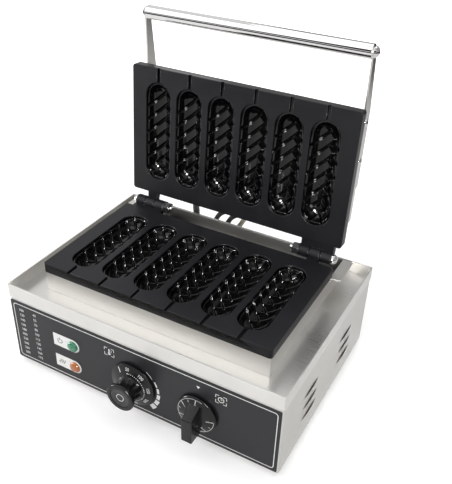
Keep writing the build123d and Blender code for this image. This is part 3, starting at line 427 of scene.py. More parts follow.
@dataclass(frozen=True)
class Coated:
    """Black release coat on a casting: satin outside, glossy in what is marked as hollow, with painted
    shade that darkens the colour there.
    """

    name: str
    colour: Colour
    roughness: float
    # Painted shade: the darker colour given to the cavities and slots
    hollow_shade_colour: Colour
    hollow_roughness: float
    specular: float = 0.2
    hollow_coat: float = 0.3
    coat_roughness: float = 0.11
    grain_scale: float = 1100.0
    grain_depth: float = 0.00003
    patch_scale: float = 25.0
    tints: Pair = (0.9, 1.1)
    roughness_spread: float = 0.03
    grain_octaves: float = 2.0
    patch_octaves: float = 4.0
    relief_share: float = 0.5

    def build(self) -> Material:
        """Make the node material.

        Returns:
            The material.
        """
        recipe = Recipe(self.name)
        hollow = recipe.node("ShaderNodeAttribute", {"attribute_name": HOLLOW}).outputs["Fac"]
        grain = recipe.noise(recipe.place, self.grain_scale, self.grain_octaves)
        patch = recipe.noise(recipe.place, self.patch_scale, self.patch_octaves)
        darker, lighter = (shade(self.colour, factor) for factor in self.tints)
        outside = recipe.tint(recipe.spread(patch, 0.0, 1.0), darker, lighter)
        drop = recipe.math("MULTIPLY", hollow, self.hollow_roughness - self.roughness)
        low, high = self.roughness - self.roughness_spread, self.roughness + self.roughness_spread
        # The hollows take a darker colour than the outside: painted shade in the cavities and slots
        recipe.feed(
            recipe.shader, Base_Color=recipe.tint(hollow, outside, self.hollow_shade_colour),
            Roughness=recipe.math("ADD", recipe.spread(patch, low, high), drop),
            Specular_IOR_Level=self.specular, Coat_Roughness=self.coat_roughness,
            Coat_Weight=recipe.math("MULTIPLY", hollow, self.hollow_coat),
        )
        recipe.relief(grain, self.relief_share, self.grain_depth)
        return recipe.material


@dataclass(frozen=True)
class Lens:
    """Tinted glossy plastic with fine round ribs, not lit."""

    name: str
    colour: Colour
    roughness: float = 0.12
    coat: float = 0.6
    coat_roughness: float = 0.05
    depth_share: float = 0.15
    depth: float = 0.002
    ring_scale: float = 420.0
    ring_distortion: float = 0.4
    ring_tints: Pair = (0.8, 1.15)
    ring_relief: Pair = (0.2, 0.0002)

    def build(self) -> Material:
        """Make the node material.

        Returns:
            The material.
        """
        recipe = Recipe(self.name)
        rings = recipe.node(
            "ShaderNodeTexWave", {"wave_type": "RINGS", "rings_direction": "SPHERICAL"},
            Vector=recipe.place, Scale=self.ring_scale, Distortion=self.ring_distortion,
        )
        ring = rings.outputs["Fac"]
        colour = recipe.tint(ring, *(shade(self.colour, factor) for factor in self.ring_tints))
        recipe.feed(
            recipe.shader, Base_Color=colour,
            Roughness=self.roughness, Coat_Weight=self.coat, Coat_Roughness=self.coat_roughness,
            Subsurface_Weight=self.depth_share, Subsurface_Radius=(self.depth,) * 3, Subsurface_Scale=1.0,
        )
        recipe.relief(ring, *self.ring_relief)
        return recipe.material


FINISHES = {
    Slot.STAINLESS: Metal(
        "brushed_stainless", (0.58, 0.57, 0.55), 0.34,
        grain=(40.0, 40.0, 3600.0), grain_depth=0.0000008, grain_share=0.1,
    ),
    Slot.TRAY: Metal(
        "tray_stainless", (0.66, 0.65, 0.63), 0.3,
        grain=(40.0, 3600.0, 40.0), grain_depth=0.0000004, grain_share=0.06,
    ),
    Slot.POLISHED: Metal("polished_steel", (0.66, 0.655, 0.65), 0.05, grain_share=0.1, smudge=0.01),
    Slot.ZINC: Metal("zinc_steel", (0.6, 0.6, 0.57), 0.34),
    Slot.BLACK_STEEL: Grained("black_steel", (0.022, 0.022, 0.024), 0.38),
    Slot.CASTING: Coated(
        "coated_cast_aluminium", (0.011, 0.011, 0.0135), 0.38,
        # The hollow colour is painted shade in the cavities
        hollow_shade_colour=(0.0012, 0.0012, 0.0014), hollow_roughness=0.14,
    ),
    Slot.SHEATH: Metal("element_sheath", (0.2, 0.18, 0.16), 0.45),
    Slot.CERAMIC: Grained("white_ceramic", (0.78, 0.76, 0.72), 0.35, coat=0.3),
    Slot.WOOL: Grained("mineral_wool", (0.55, 0.5, 0.38), 0.95, variation=0.25, grain_depth=0.0004),
    Slot.RUBBER: Grained("black_rubber", (0.018, 0.018, 0.018), 0.62),
    Slot.LABEL: Grained("label_film", (0.015, 0.0155, 0.0185), 0.34, variation=0.06, specular=0.3),
    Slot.WHITE: Grained("white_label", (0.93, 0.93, 0.91), 0.4, variation=0.03),
    Slot.BAKELITE: Grained(
        "black_bakelite", (0.004, 0.004, 0.0045), 0.24, grain_depth=0.00001, specular=0.3
    ),
    Slot.CAP: Grained("knob_cap", (0.01, 0.01, 0.011), 0.16, grain_depth=0.000005),
    Slot.GREEN: Lens("green_lens", (0.025, 0.24, 0.12)),
    Slot.ORANGE: Lens("orange_lens", (0.5, 0.15, 0.03)),
    Slot.BRASS: Metal("brass", (0.62, 0.44, 0.17), 0.3),
    Slot.COPPER: Metal("copper_tube", (0.7, 0.36, 0.22), 0.3),
    Slot.SLEEVE: Grained(
        "lead_sleeve", (0.006, 0.006, 0.006), 0.5, specular=0.2, grain_scale=900.0, grain_depth=0.00015
    ),
    Slot.BRAID: Metal("lead_braid", (0.4, 0.37, 0.3), 0.42),
}


@cache
def material_of(slot: Slot) -> Material:
    """The material of a slot, built once."""
    return FINISHES[slot].build()


# Studio


@dataclass(frozen=True)
class Lamp:
    """A round soft lamp aimed at the object."""

    name: str
    place: Point
    size: float
    watts: float
    lights: bool = True
    mirrored: bool = True

    def build(self) -> None:
        """Add the lamp, seen by matt surfaces, by shiny ones or by both."""
        data = bpy.data.lights.new(self.name, "AREA")
        data.shape = "DISK"
        data.size = self.size
        data.energy = self.watts
        lamp = link_object(self.name, data)
        lamp.location = self.place
        lamp.visible_diffuse = self.lights
        lamp.visible_glossy = self.mirrored
        lamp.rotation_euler = (Vector(AIM) - Vector(self.place)).to_track_quat("-Z", "Y").to_euler()


@dataclass
class Studio:
    """Camera at the photograph's place, plain pale floor, soft lamps and a white surround."""

    frame_width: float = 452.0
    frame_height: float = 484.0
    focal: float = 683.1
    centre: Pair = (213.72, 245.59)
    sensor: float = 36.0
    clip_start: float = 0.01
    eye: Point = (0.3323, -0.5597, 0.5822)
    right: Point = (0.86952, 0.49348, 0.02046)
    up: Point = (-0.28491, 0.46731, 0.83693)
    forward: Point = (-0.40345, 0.73355, -0.54693)
    floor_radius: float = 6.0
    floor_segments: int = 96
    floor_colour: Colour = (0.86, 0.86, 0.86)
    floor_roughness: float = 0.9
    far_colour: Colour = (0.03, 0.03, 0.03)
    table_radius: float = 1.1
    floor_glow: float = 0.3
    mirrored_glow: float = 0.2
    glow_right: float = 0.18
    glow_reach: Pair = (0.5, 1.3)
    diffuse_grey: float = 0.5
    dark_from: Pair = (-0.47, -0.26)
    dark_rise: float = 0.6
    back_stops: tuple[Pair, ...] = ((0.0, 0.42), (0.04, 1.0))
    front_stops: tuple[Pair, ...] = (
        (0.0, 1.0), (0.77, 0.9), (0.815, 0.03), (0.965, 0.03), (0.975, 1.0),
    )
    lamps: tuple[Lamp, ...] = (
        Lamp("key", (-1.2, -1.0, 1.6), 2.3, 23.0),
        Lamp("fill", (1.5, -0.7, 1.1), 1.0, 3.0, mirrored=False),
        Lamp("top", (0.2, 0.5, 1.9), 2.0, 15.0),
        Lamp("window", (-1.6, -0.6, 0.3), 0.5, 36.0, lights=False),
        Lamp("flash", (0.69, -1.25, 0.68), 0.35, 60.0, lights=False),
    )

    def camera(self) -> None:
        """Place the camera with the photograph's lens and framing."""
        data = bpy.data.cameras.new("camera")
        data.sensor_fit = "HORIZONTAL"
        data.sensor_width = self.sensor
        data.lens = self.focal / self.frame_width * self.sensor
        data.shift_x = (self.frame_width / 2 - self.centre[0]) / self.frame_width
        data.shift_y = (self.centre[1] - self.frame_height / 2) / self.frame_width
        data.clip_start = self.clip_start
        camera = link_object("camera", data)
        camera.matrix_world = column_matrix(
            Vector(self.right), Vector(self.up), -Vector(self.forward), Vector(self.eye)
        )
        bpy.context.scene.camera = camera

    def world(self) -> None:
        """White surround for the camera; what shines sees a dim low back and a dark band in front."""
        recipe = Recipe("surround", surround=True)
        x, y, z = recipe.axes()
        turn = recipe.math("DIVIDE", recipe.math("ARCTAN2", z, y), math.pi)
        side = recipe.between(x, self.dark_from, (0.0, self.dark_rise))
        back = recipe.ramp(recipe.math("SUBTRACT", turn, side), self.back_stops)
        front = recipe.ramp(turn, self.front_stops)
        path = recipe.node("ShaderNodeLightPath").outputs
        shine = recipe.math("MULTIPLY", back, front)
        matt = recipe.math("SUBTRACT", 1.0, path["Is Glossy Ray"])
        plain = recipe.math("MULTIPLY", matt, self.diffuse_grey)
        mixed = recipe.math("MULTIPLY_ADD", shine, path["Is Glossy Ray"], plain)
        recipe.feed(recipe.shader, Color=recipe.math("MAXIMUM", mixed, path["Is Camera Ray"]))
        bpy.context.scene.world = recipe.material

    def floor(self) -> None:
        """Lay a pale floor that keeps the shadow and glows for the camera, so that it ends white."""
        mesh = bpy.data.meshes.new("floor")
        build = bmesh.new()
        segments, radius = self.floor_segments, self.floor_radius
        bmesh.ops.create_circle(build, cap_ends=True, segments=segments, radius=radius)
        build.to_mesh(mesh)
        build.free()
        floor = link_object("floor", mesh)
        recipe = Recipe("pale_floor")
        path = recipe.node("ShaderNodeLightPath").outputs
        distance = recipe.apply("ShaderNodeVectorMath", "LENGTH", recipe.place).outputs["Value"]
        # For reflections the floor past the table is painted dark, and the near floor away from the right
        # glows as a painted reflection
        far = recipe.math("GREATER_THAN", distance, self.table_radius)
        dark = recipe.math("MULTIPLY", far, path["Is Glossy Ray"])
        colour = recipe.tint(dark, self.floor_colour, self.far_colour)
        rise = recipe.between(distance, self.glow_reach, (self.floor_glow, 1.0))
        seen = recipe.math("MULTIPLY", path["Is Camera Ray"], rise)
        right = recipe.math("GREATER_THAN", recipe.axes()["X"], self.glow_right)
        dim = recipe.math("MAXIMUM", far, right)
        mirrored = recipe.math("MULTIPLY", path["Is Glossy Ray"], recipe.math("SUBTRACT", 1.0, dim))
        glow = recipe.math("MULTIPLY_ADD", mirrored, self.mirrored_glow, seen)
        recipe.feed(
            recipe.shader, Base_Color=colour, Roughness=self.floor_roughness, Specular_IOR_Level=0.0,
            Emission_Color=(1.0, 1.0, 1.0), Emission_Strength=glow,
        )
        mesh.materials.append(recipe.material)

    def build(self) -> None:
        """Set up the whole studio."""
        bpy.context.scene.view_settings.view_transform = "Standard"
        self.camera()
        self.world()
        self.floor()
        for lamp in self.lamps:
            lamp.build()


# Shapes


def column_matrix(*columns: Vector) -> Matrix:
    """The matrix whose columns are three axes and an origin."""
    return Matrix([[*(column[i] for column in columns)] for i in range(3)] + [[0, 0, 0, 1]])


def frame_matrix(origin: Point, x_axis: Point, z_axis: Point) -> Matrix:
    """The matrix of a frame.

    Args:
        origin: Its origin.
        x_axis: Its X axis, of any length.
        z_axis: Its Z axis, of any length.

    Returns:
        The matrix from the frame to the solids' frame.
    """
    x, z = Vector(x_axis).normalized(), Vector(z_axis).normalized()
    return column_matrix(x, z.cross(x), z, Vector(origin))


LOWER_PLACE = frame_matrix(HINGE, (1, 0, 0), (0, 0, -1))
UPPER_PLACE = frame_matrix(HINGE, (-1, 0, 0), LID_BACK)
# Lays a prism on its side: X becomes Y, Y becomes Z and Z becomes X
SIDEWAYS = Matrix(((0, 0, 1, 0), (1, 0, 0, 0), (0, 1, 0, 0), (0, 0, 0, 1)))


def box_corners(node: str) -> tuple[Vector, Vector]:
    """The lowest and highest corner of a solid's box."""
    low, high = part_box(node)
    return Vector(low), Vector(high)


def moved(outline: Iterable[Pair], by: Pair) -> list[Pair]:
    """An outline moved across its plane."""
    return [(x + by[0], y + by[1]) for x, y in outline]


def fillet(corners: Sequence[Point], steps: int = 6) -> list[Pair]:
    """Round the corners of a closed outline.

    Args:
        corners: (x, y, radius) of each corner in order.
        steps: Segments of each rounded corner.

    Returns:
        The outline's points.
    """
    points = []
    count = len(corners)
    for index, (x, y, radius) in enumerate(corners):
        here = Vector((x, y))
        if radius <= 0:
            points.append((x, y))
            continue
        before = (Vector(corners[index - 1][:2]) - here).normalized()
        after = (Vector(corners[(index + 1) % count][:2]) - here).normalized()
        half = before.angle(after) / 2
        reach = radius / math.tan(half)
        middle = here + (before + after).normalized() * (radius / math.sin(half))
        start = here + before * reach - middle
        sweep = (here + after * reach - middle).angle_signed(start)
        for step in range(steps + 1):
            turned = start.copy()
            turned.rotate(Matrix.Rotation(sweep * step / steps, 2))
            points.append(tuple(middle + turned))
    return points


def rounded_rectangle(width: float, height: float, radius: float, steps: int = 6) -> list[Pair]:
    """The outline of a rectangle with round corners, centred on the origin."""
    x, y = width / 2, height / 2
    return fillet([(-x, -y, radius), (x, -y, radius), (x, y, radius), (-x, y, radius)], steps)


def circle(radius: float, steps: int, start: float = 0.0, sweep: float = math.tau) -> list[Pair]:
    """Points round a circle or an arc; a full circle doesn't repeat its first point.

    Args:
        radius: The radius.
        steps: Segments of the circle or arc.
        start: The first point's angle in radians.
        sweep: The angle that it covers in radians.

    Returns:
        The points.
    """
    count = steps if abs(sweep) >= WHOLE_TURN else steps + 1
    return [
        (radius * math.cos(start + sweep * i / steps), radius * math.sin(start + sweep * i / steps))
        for i in range(count)
    ]


def inset(outline: Sequence[Pair], amount: float) -> list[Pair]:
    """Move a closed, counter-clockwise outline inwards.

    Args:
        outline: The points.
        amount: How far, measured square to the edges.

    Returns:
        The moved points, one for each.
    """
    points = []
    count = len(outline)
    for index in range(count):
        here = Vector(outline[index])
        before = (here - Vector(outline[index - 1])).normalized()
        after = (Vector(outline[(index + 1) % count]) - here).normalized()
        normal = Vector((-before.y - after.y, before.x + after.x))
        scale = normal.length_squared / 2
        points.append(tuple(here + normal * (amount / max(scale, MITRE_LIMIT))))
    return points


class Shape:
    """A mesh being built in its own frame, then placed in the solids' frame."""

    def __init__(self) -> None:
        """Start empty."""
        self.mesh = bmesh.new()

    def ring(self, outline: Iterable[Pair], height: float) -> list[BMVert]:
        """Add the outline's points at one height."""
        return [self.mesh.verts.new((x, y, height)) for x, y in outline]

    def strip(self, low: list[BMVert], high: list[BMVert]) -> None:
        """Join two rings by faces.

        Args:
            low: The first ring.
            high: The second ring, with as many points.
        """
        for i in range(len(low)):
            j = (i + 1) % len(low)
            self.mesh.faces.new((low[i], low[j], high[j], high[i]))

    def stack(self, rings: Sequence[list[BMVert]], ends: bool = True) -> "Shape":
        """Join rings in order by faces.

        Args:
            rings: Rings with the same number of points.
            ends: Whether the first and the last ring are closed.

        Returns:
            The same shape.
        """
        for low, high in zip(rings, rings[1:]):
            self.strip(low, high)
        if ends:
            self.mesh.faces.new(list(reversed(rings[0])))
            self.mesh.faces.new(rings[-1])
        return self

    def prism(self, outline: Sequence[Pair], low: float, high: float, bevel: float = 0.0) -> "Shape":
        """A closed prism with softened ends.

        Args:
            outline: Counter-clockwise points.
            low: Height of its underside.
            high: Height of its top.
            bevel: Width of the softened edge.

        Returns:
            The same shape.
        """
        levels = [(outline, low), (outline, high)]
        if bevel > 0:
            part = bevel * EASED_SHARE
            small, near = inset(outline, bevel), inset(outline, part)
            levels = [
                (small, low), (near, low + part), (outline, low + bevel),
                (outline, high - bevel), (near, high - part), (small, high),
            ]
        return self.stack([self.ring(points, height) for points, height in levels])

    def frame(self, outer: Sequence[Pair], hole: Sequence[Pair], low: float, high: float) -> "Shape":
        """A flat closed band between two outlines.

        Args:
            outer: The points round it.
            hole: The points of its hole, as many.
            low: Height of its underside.
            high: Height of its top.

        Returns:
            The same shape.
        """
        a, b = self.ring(outer, low), self.ring(outer, high)
        c, d = self.ring(hole, low), self.ring(hole, high)
        self.strip(a, b)
        self.strip(d, c)
        self.strip(b, d)
        self.strip(c, a)
        return self

    def lathe(self, profile: Sequence[Pair], segments: int) -> "Shape":
        """A turned solid about Z.

        Args:
            profile: (radius, z) points that start and end on the axis.
            segments: Faces round it.

        Returns:
            The same shape.
        """
        ends = [self.mesh.verts.new((0, 0, profile[0][1])), self.mesh.verts.new((0, 0, profile[-1][1]))]
        rings = [self.ring(circle(radius, segments), z) for radius, z in profile[1:-1]]
        self.stack(rings, ends=False)
        for i in range(segments):
            j = (i + 1) % segments
            self.mesh.faces.new((ends[0], rings[0][j], rings[0][i]))
            self.mesh.faces.new((ends[1], rings[-1][i], rings[-1][j]))
        return self

    def take(self, mesh: Mesh, matrix: Matrix = Matrix.Identity(4)) -> "Shape":
        """Take in a mesh and remove it.

        Args:
            mesh: The mesh.
            matrix: The move that it makes first.

        Returns:
            The same shape.
        """
        mesh.transform(matrix)
        self.mesh.from_mesh(mesh)
        bpy.data.meshes.remove(mesh)
        return self

    def add(self, other: "Shape", matrix: Matrix = Matrix.Identity(4)) -> "Shape":
        """Take in another shape.

        Args:
            other: The other shape, which stays as it is.
            matrix: The move that its copy makes first.

        Returns:
            The same shape.
        """
        copy = bpy.data.meshes.new("part")
        other.mesh.to_mesh(copy)
        return self.take(copy, matrix)

    def smooth(self, angle: float = CREASE) -> "Shape":
        """Shade smooth, with creases at sharp corners.

        Args:
            angle: Corners sharper than this, in degrees, stay crisp.

        Returns:
            The same shape.
        """
        for face in self.mesh.faces:
            face.smooth = True
        for edge in self.mesh.edges:
            edge.smooth = len(edge.link_faces) != 2 or edge.calc_face_angle(0.0) < math.radians(angle)
        return self

    def outwards(self, distance: float = MADE_MERGE) -> "Shape":
        """Merge doubles and make every closed shell's faces point outwards.

        Args:
            distance: How near two points are one.

        Returns:
            The same shape.
        """
        bmesh.ops.remove_doubles(self.mesh, verts=self.mesh.verts, dist=distance)
        bmesh.ops.recalc_face_normals(self.mesh, faces=self.mesh.faces)
        return self


class Workshop:
    """Makes finished pieces and puts them on their bodies."""

    area_weight = 80

    def __init__(self) -> None:
        """Start with no pieces."""
        self.pieces: list[Object] = []

    def piece(
        self, name: str, shape: Shape, slot: Slot, body: Body | None,
        place: Matrix = Matrix.Identity(4), replaces: Sequence[str] = (), angle: float | None = CREASE,
    ) -> Object:
        """Finish one piece.

        Args:
            name: The piece's name.
            shape: The shape in its own frame.
            slot: The finish.
            body: The body that it rides on, or None where it runs between two and rides on neither.
            place: From its own frame to the solids' frame.
            replaces: The nodes that it stands for.
            angle: Corners sharper than this stay crisp; None keeps the shading as it is.

        Returns:
            The finished object.
        """
        if angle is not None:
            shape.outwards().smooth(angle)
        mesh = bpy.data.meshes.new(name)
        shape.mesh.to_mesh(mesh)
        shape.mesh.free()
        mesh.transform(place)
        # This also takes every face back to the first material
        mesh.materials.clear()
        mesh.materials.append(material_of(slot))
        item = link_object(name, mesh)
        if body is not None:
            self.even(item)
            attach(item, body.value)
        if replaces:
            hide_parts(*replaces)
        self.pieces.append(item)
        LOG.info("%s: %d faces", name, len(item.data.polygons))
        return item

    def even(self, item: Object) -> None:
        """Weight the shading by face area, so that flat faces stay flat beside their eased edges.

        Args:
            item: The piece, whose mesh is exchanged for the weighted one.
        """
        before = item.data
        modifier = item.modifiers.new("even", "WEIGHTED_NORMAL")
        modifier.keep_sharp = True
        modifier.weight = self.area_weight
        item.data = evaluated_mesh(item)
        item.modifiers.remove(modifier)
        bpy.data.meshes.remove(before)
        item.data.name = item.name


def text_mesh(words: str, size: float) -> Mesh:
    """Centred text as a thin solid mesh in its own XY plane.

    Args:
        words: Plain numbers.
        size: Height of the letters.

    Returns:
        The mesh.
    """
    data = bpy.data.curves.new("words", "FONT")
    data.body = words
    data.size = size
    data.extrude = INK / 2
    data.resolution_u = 3
    data.align_x = "CENTER"
    data.align_y = "CENTER"
    return curve_mesh(data)


# Geometry Nodes


class Field:
    """An output of a node tree that takes part in arithmetic."""

    def __init__(self, tree: "Tree", socket: Socket) -> None:
        """Wrap a socket."""
        self.tree = tree
        self.socket = socket

    def math(self, operation: str, *others: "Field | float") -> "Field":
        """Apply one Math node to the field and further operands."""
        return Field(self.tree, self.tree.apply("ShaderNodeMath", operation, self, *others).outputs[0])

    def __add__(self, other: "Field | float") -> "Field":
        """Sum."""
        return self.math("ADD", other)

    def __sub__(self, other: "Field | float") -> "Field":
        """Difference."""
        return self.math("SUBTRACT", other)

    def __mul__(self, other: "Field | float") -> "Field":
        """Product."""
        return self.math("MULTIPLY", other)

    def __truediv__(self, other: "Field | float") -> "Field":
        """Quotient."""
        return self.math("DIVIDE", other)


class Tree(Nodes):
    """A Geometry Nodes tree with named inputs."""

    def __init__(self, name: str, inputs: dict[str, float]) -> None:
        """Start a tree.

        Args:
            name: The tree's name.
            inputs: Its number inputs and their values.
        """
        super().__init__(bpy.data.node_groups.new(name, "GeometryNodeTree"))
        face = self.group.interface
        face.new_socket(name="Geometry", in_out="INPUT", socket_type="NodeSocketGeometry")
        self.identifiers = {}
        for key, value in inputs.items():
            socket = face.new_socket(name=key, in_out="INPUT", socket_type="NodeSocketFloat")
            socket.default_value = value
            self.identifiers[key] = socket.identifier
        face.new_socket(name="Geometry", in_out="OUTPUT", socket_type="NodeSocketGeometry")
        self.values = dict(inputs)
        self.entry = self.group.nodes.new("NodeGroupInput")
        self.leave = self.group.nodes.new("NodeGroupOutput")

    def input(self, name: str) -> Field:
        """One of the tree's named inputs."""
        return Field(self, self.entry.outputs[name])

    def position(self) -> list[Field]:
        """The three axes of each point's place."""
        split = self.node("ShaderNodeSeparateXYZ", Vector=self.node("GeometryNodeInputPosition"))
        return [Field(self, socket) for socket in split.outputs]

    def point(
        self, x: Field | float = 0.0, y: Field | float = 0.0, z: Field | float = 0.0
    ) -> Node:
        """A vector from its three axes."""
        return self.node("ShaderNodeCombineXYZ", X=x, Y=y, Z=z)

    def mesh(
        self, geometry: Node, slot: Slot, source: Mesh | None = None
    ) -> Mesh:
        """End the tree with Realize Instances and Set Material, and run it once.

        Args:
            geometry: The last geometry node.
            slot: The finish.
            source: The mesh that enters the tree, if it takes one.

        Returns:
            The resulting plain mesh.
        """
        real = self.node("GeometryNodeRealizeInstances", Geometry=geometry)
        done = self.node("GeometryNodeSetMaterial", Geometry=real, Material=material_of(slot))
        self.group.links.new(done.outputs[0], self.leave.inputs[0])
        holder = link_object("holder", source or bpy.data.meshes.new("holder"))
        modifier = holder.modifiers.new(self.group.name, "NODES")
        modifier.node_group = self.group
        for key, identifier in self.identifiers.items():
            modifier[identifier] = self.values[key]
        result = evaluated_mesh(holder)
        holder.modifiers.remove(modifier)
        entered = holder.data
        bpy.data.objects.remove(holder)
        bpy.data.meshes.remove(entered)
        return result


# Cast plates


@dataclass
class Casting:
    """One cast cooking plate with plaited cavities; both plates come from the same pattern."""

    width: float = 0.2885
    length: float = 0.163
    thickness: float = 0.0122
    corner: float = 0.0035
    corner_steps: int = 8
    near: float = 0.0155
    face: float = 0.0003
    edge: float = 0.0006
    cavities: int = 6
    pitch: float = 0.0429
    mouth_radius: float = 0.0176
    cavity_length: float = 0.126
    end_margin: float = 0.017
    ledge_depth: float = 0.0028
    bar_radius: float = 0.0148
    groove_radius: float = 0.0173
    groove_half_width: float = 0.0010
    groove_softness: float = 0.0008
    plait_pitch: float = 0.0165438
    plait_offset: float = 0.0006
    plait_shift: float = -0.00189
    plait_reach: int = 3
    cells_per_plait: int = 24
    all_corners: float = 0.99
    seam: float = 0.00005
    slot_width: float = 0.004
    slot_depth: float = 0.0024
    side_steps: int = 20
    end_steps: int = 36
    rim_crease: float = 30.0
    block_margin: float = 0.0016
    block_back: float = 0.0217
    block_bevel: float = 0.0008
    block_steps: int = 10
    hinge_centre: float = 0.1156
    knuckles: tuple[tuple[int, tuple[int, ...]], ...] = ((-1, (0, 2)), (1, (1,)))
    knuckle: float = 0.0135
    knuckle_gap: float = 0.0003
    knuckle_radius: float = 0.0075
    lug_root: float = 0.002
    lug_relief: float = 0.0007
    lug_thickness: float = 0.0095
    lug_edge: float = 0.0011
    barrel_steps: int = 44
    web_clearance: float = 0.0004

    @property
    def far(self) -> float:
        """The free edge's distance from the hinge axis."""
        return self.near + self.length

    @property
    def cavity_middle(self) -> float:
        """The cavities' middle, from the hinge axis."""
        return self.far - self.end_margin - self.cavity_length / 2

    def cavity_places(self) -> list[float]:
        """The cavities' places along the hinge."""
        return [(i - (self.cavities - 1) / 2) * self.pitch for i in range(self.cavities)]

    @property
    def straight(self) -> float:
        """Half the straight part of a cavity's mouth."""
        return self.cavity_length / 2 - self.mouth_radius

    def face_outline(self) -> tuple[list[Pair], list[str]]:
        """The working face's outline, cut in by the stick slots and cavities.

        Returns:
            The points, and for each the wall that it belongs to.
        """
        corners = rounded_rectangle(self.width, self.length, self.corner, self.corner_steps)
        corners = moved(corners, (0.0, self.near + self.length / 2))
        # The first three corners end at the right of the free edge
        last_right = 3 * (self.corner_steps + 1)
        points, tags = [], []

        def put(items: Sequence[Pair], tag: str) -> None:
            """Add points of one wall."""
            points.extend(items)
            tags.extend([tag] * len(items))

        put(corners[:last_right], "outer")
        side = math.pi / 2 - math.asin(self.slot_width / 2 / self.mouth_radius)
        for u in reversed(self.cavity_places()):
            top, low = (u, self.cavity_middle + self.straight), (u, self.cavity_middle - self.straight)
            put([(u + self.slot_width / 2, self.far)], "slot")
            put(moved(circle(self.mouth_radius, self.side_steps, side, -side), top), "cavity")
            put(moved(circle(self.mouth_radius, self.end_steps, 0.0, -math.pi), low), "cavity")
            put(moved(circle(self.mouth_radius, self.side_steps, math.pi, -side), top), "cavity")
            put([(u - self.slot_width / 2, self.far)], "slot")
        put(corners[last_right:], "outer")
        return points, tags

    def slab(self) -> Shape:
        """The plate's slab with slots and cavity walls; the cavities stay open at their ledge.

        Returns:
            The shape in the casting's frame.
        """
        points, tags = self.face_outline()
        shape = Shape()
        low, count = self.face, len(points)
        part = self.edge * EASED_SHARE
        small = shape.ring(inset(points, self.edge), low)
        near = shape.ring(inset(points, part), low + part)
        top = shape.ring(points, low + self.edge)
        shape.strip(near, small)
        shape.strip(top, near)
        shape.mesh.faces.new(small)
        depths = {"outer": self.thickness - self.edge, "slot": self.slot_depth, "cavity": self.ledge_depth}

        def sunk(index: int, tag: str) -> BMVert:
            """A point of the outline at the depth of a kind of wall."""
            return shape.mesh.verts.new((*points[index], low + depths[tag]))

        deep = [sunk(i, tags[i]) for i in range(count)]
        slots = [i for i in range(count) if tags[i] == "slot"]
        back = {i: sunk(i, "outer") for i in slots}
        floors = {}
        for enter, leave in zip(slots[::2], slots[1::2]):
            floors[enter + 1], floors[leave - 1] = sunk(enter + 1, "slot"), sunk(leave - 1, "slot")
            shape.mesh.faces.new((deep[enter], floors[enter + 1], floors[leave - 1], deep[leave]))
            shape.mesh.faces.new((deep[enter], deep[leave], back[leave], back[enter]))
            shape.mesh.faces.new((floors[enter + 1], deep[enter + 1], deep[leave - 1], floors[leave - 1]))
        for i in range(count):
            j = (i + 1) % count
            kinds = {tags[i], tags[j]}
            if kinds == {"slot", "cavity"}:
                step = floors[j] if tags[j] == "cavity" else floors[i]
                shape.mesh.faces.new((top[i], top[j], deep[j], step, deep[i]))
            else:
                lower = [vert for vert in (deep[j], back.get(j), back.get(i), deep[i]) if vert]
                shape.mesh.faces.new((top[i], top[j], *lower))
        rim = [back.get(i, deep[i]) for i in range(count) if tags[i] != "cavity"]
        last = shape.ring(inset([tuple(v.co[:2]) for v in rim], self.edge), low + self.thickness)
        shape.strip(rim, last)
        self.block(shape, last)
        return shape

    def block(self, shape: Shape, rim: list[BMVert]) -> None:
        """Close the slab's back with the raised block behind the cavities.

        Args:
            shape: The slab, open at its back.
            rim: The ring round its back.
        """
        radius, bevel = self.mouth_radius, self.block_bevel
        part = bevel * EASED_SHARE
        width = (self.cavities - 1) * self.pitch + 2 * (radius + self.block_margin)
        length = self.cavity_length + 2 * self.block_margin
        outline = rounded_rectangle(width, length, radius, self.block_steps)
        outline = moved(outline, (0.0, self.cavity_middle))
        foot = shape.ring(outline, self.face + self.thickness)
        rings = [
            foot, shape.ring(outline, self.block_back - bevel),
            shape.ring(inset(outline, part), self.block_back - part),
            shape.ring(inset(outline, bevel), self.block_back),
        ]
        shape.stack(rings, ends=False)
        shape.mesh.faces.new(rings[-1])
        loops = [(ring[i - 1], ring[i]) for ring in (rim, foot) for i in range(len(ring))]
        edges = [shape.mesh.edges.get(pair) for pair in loops]
        bmesh.ops.triangle_fill(shape.mesh, use_beauty=True, edges=edges)

    def lug(self, centre: float, index: int) -> Shape:
        """One hinge lug: a barrel with an arm that swells into the plate's edge.

        Args:
            centre: The hinge's place along U.
            index: Which of the three knuckles.

        Returns:
            The shape in the casting's frame.
        """
        middle = centre + (index - 1) * (self.knuckle + self.knuckle_gap)
        radius, root = self.knuckle_radius, self.near + self.lug_root
        low = self.face + self.lug_relief
        meeting = math.asin(low / radius)
        barrel = circle(radius, self.barrel_steps, math.pi / 2, 1.5 * math.pi + meeting)
        arm = [(root, low), (root, self.thickness), (radius, self.lug_thickness)]
        half = self.knuckle / 2
        shape = Shape().prism([*arm, *barrel], middle - half, middle + half, self.lug_edge)
        return Shape().add(shape, SIDEWAYS)

    def web(self, centre: float) -> Shape:
        """The web that stiffens a pair of lugs above the other plate's knuckle.

        Args:
            centre: The hinge's place along U.

        Returns:
            The shape in the casting's frame.
        """
        low, root = self.knuckle_radius + self.web_clearance, self.near + self.lug_root
        outline = [(low, self.face + self.lug_relief), (root, self.face + self.lug_relief)]
        outline += [(root, self.thickness - self.edge), (low, self.lug_thickness)]
        half = self.knuckle / 2 + self.knuckle_gap + self.lug_edge
        return Shape().add(Shape().prism(outline, centre - half, centre + half), SIDEWAYS)

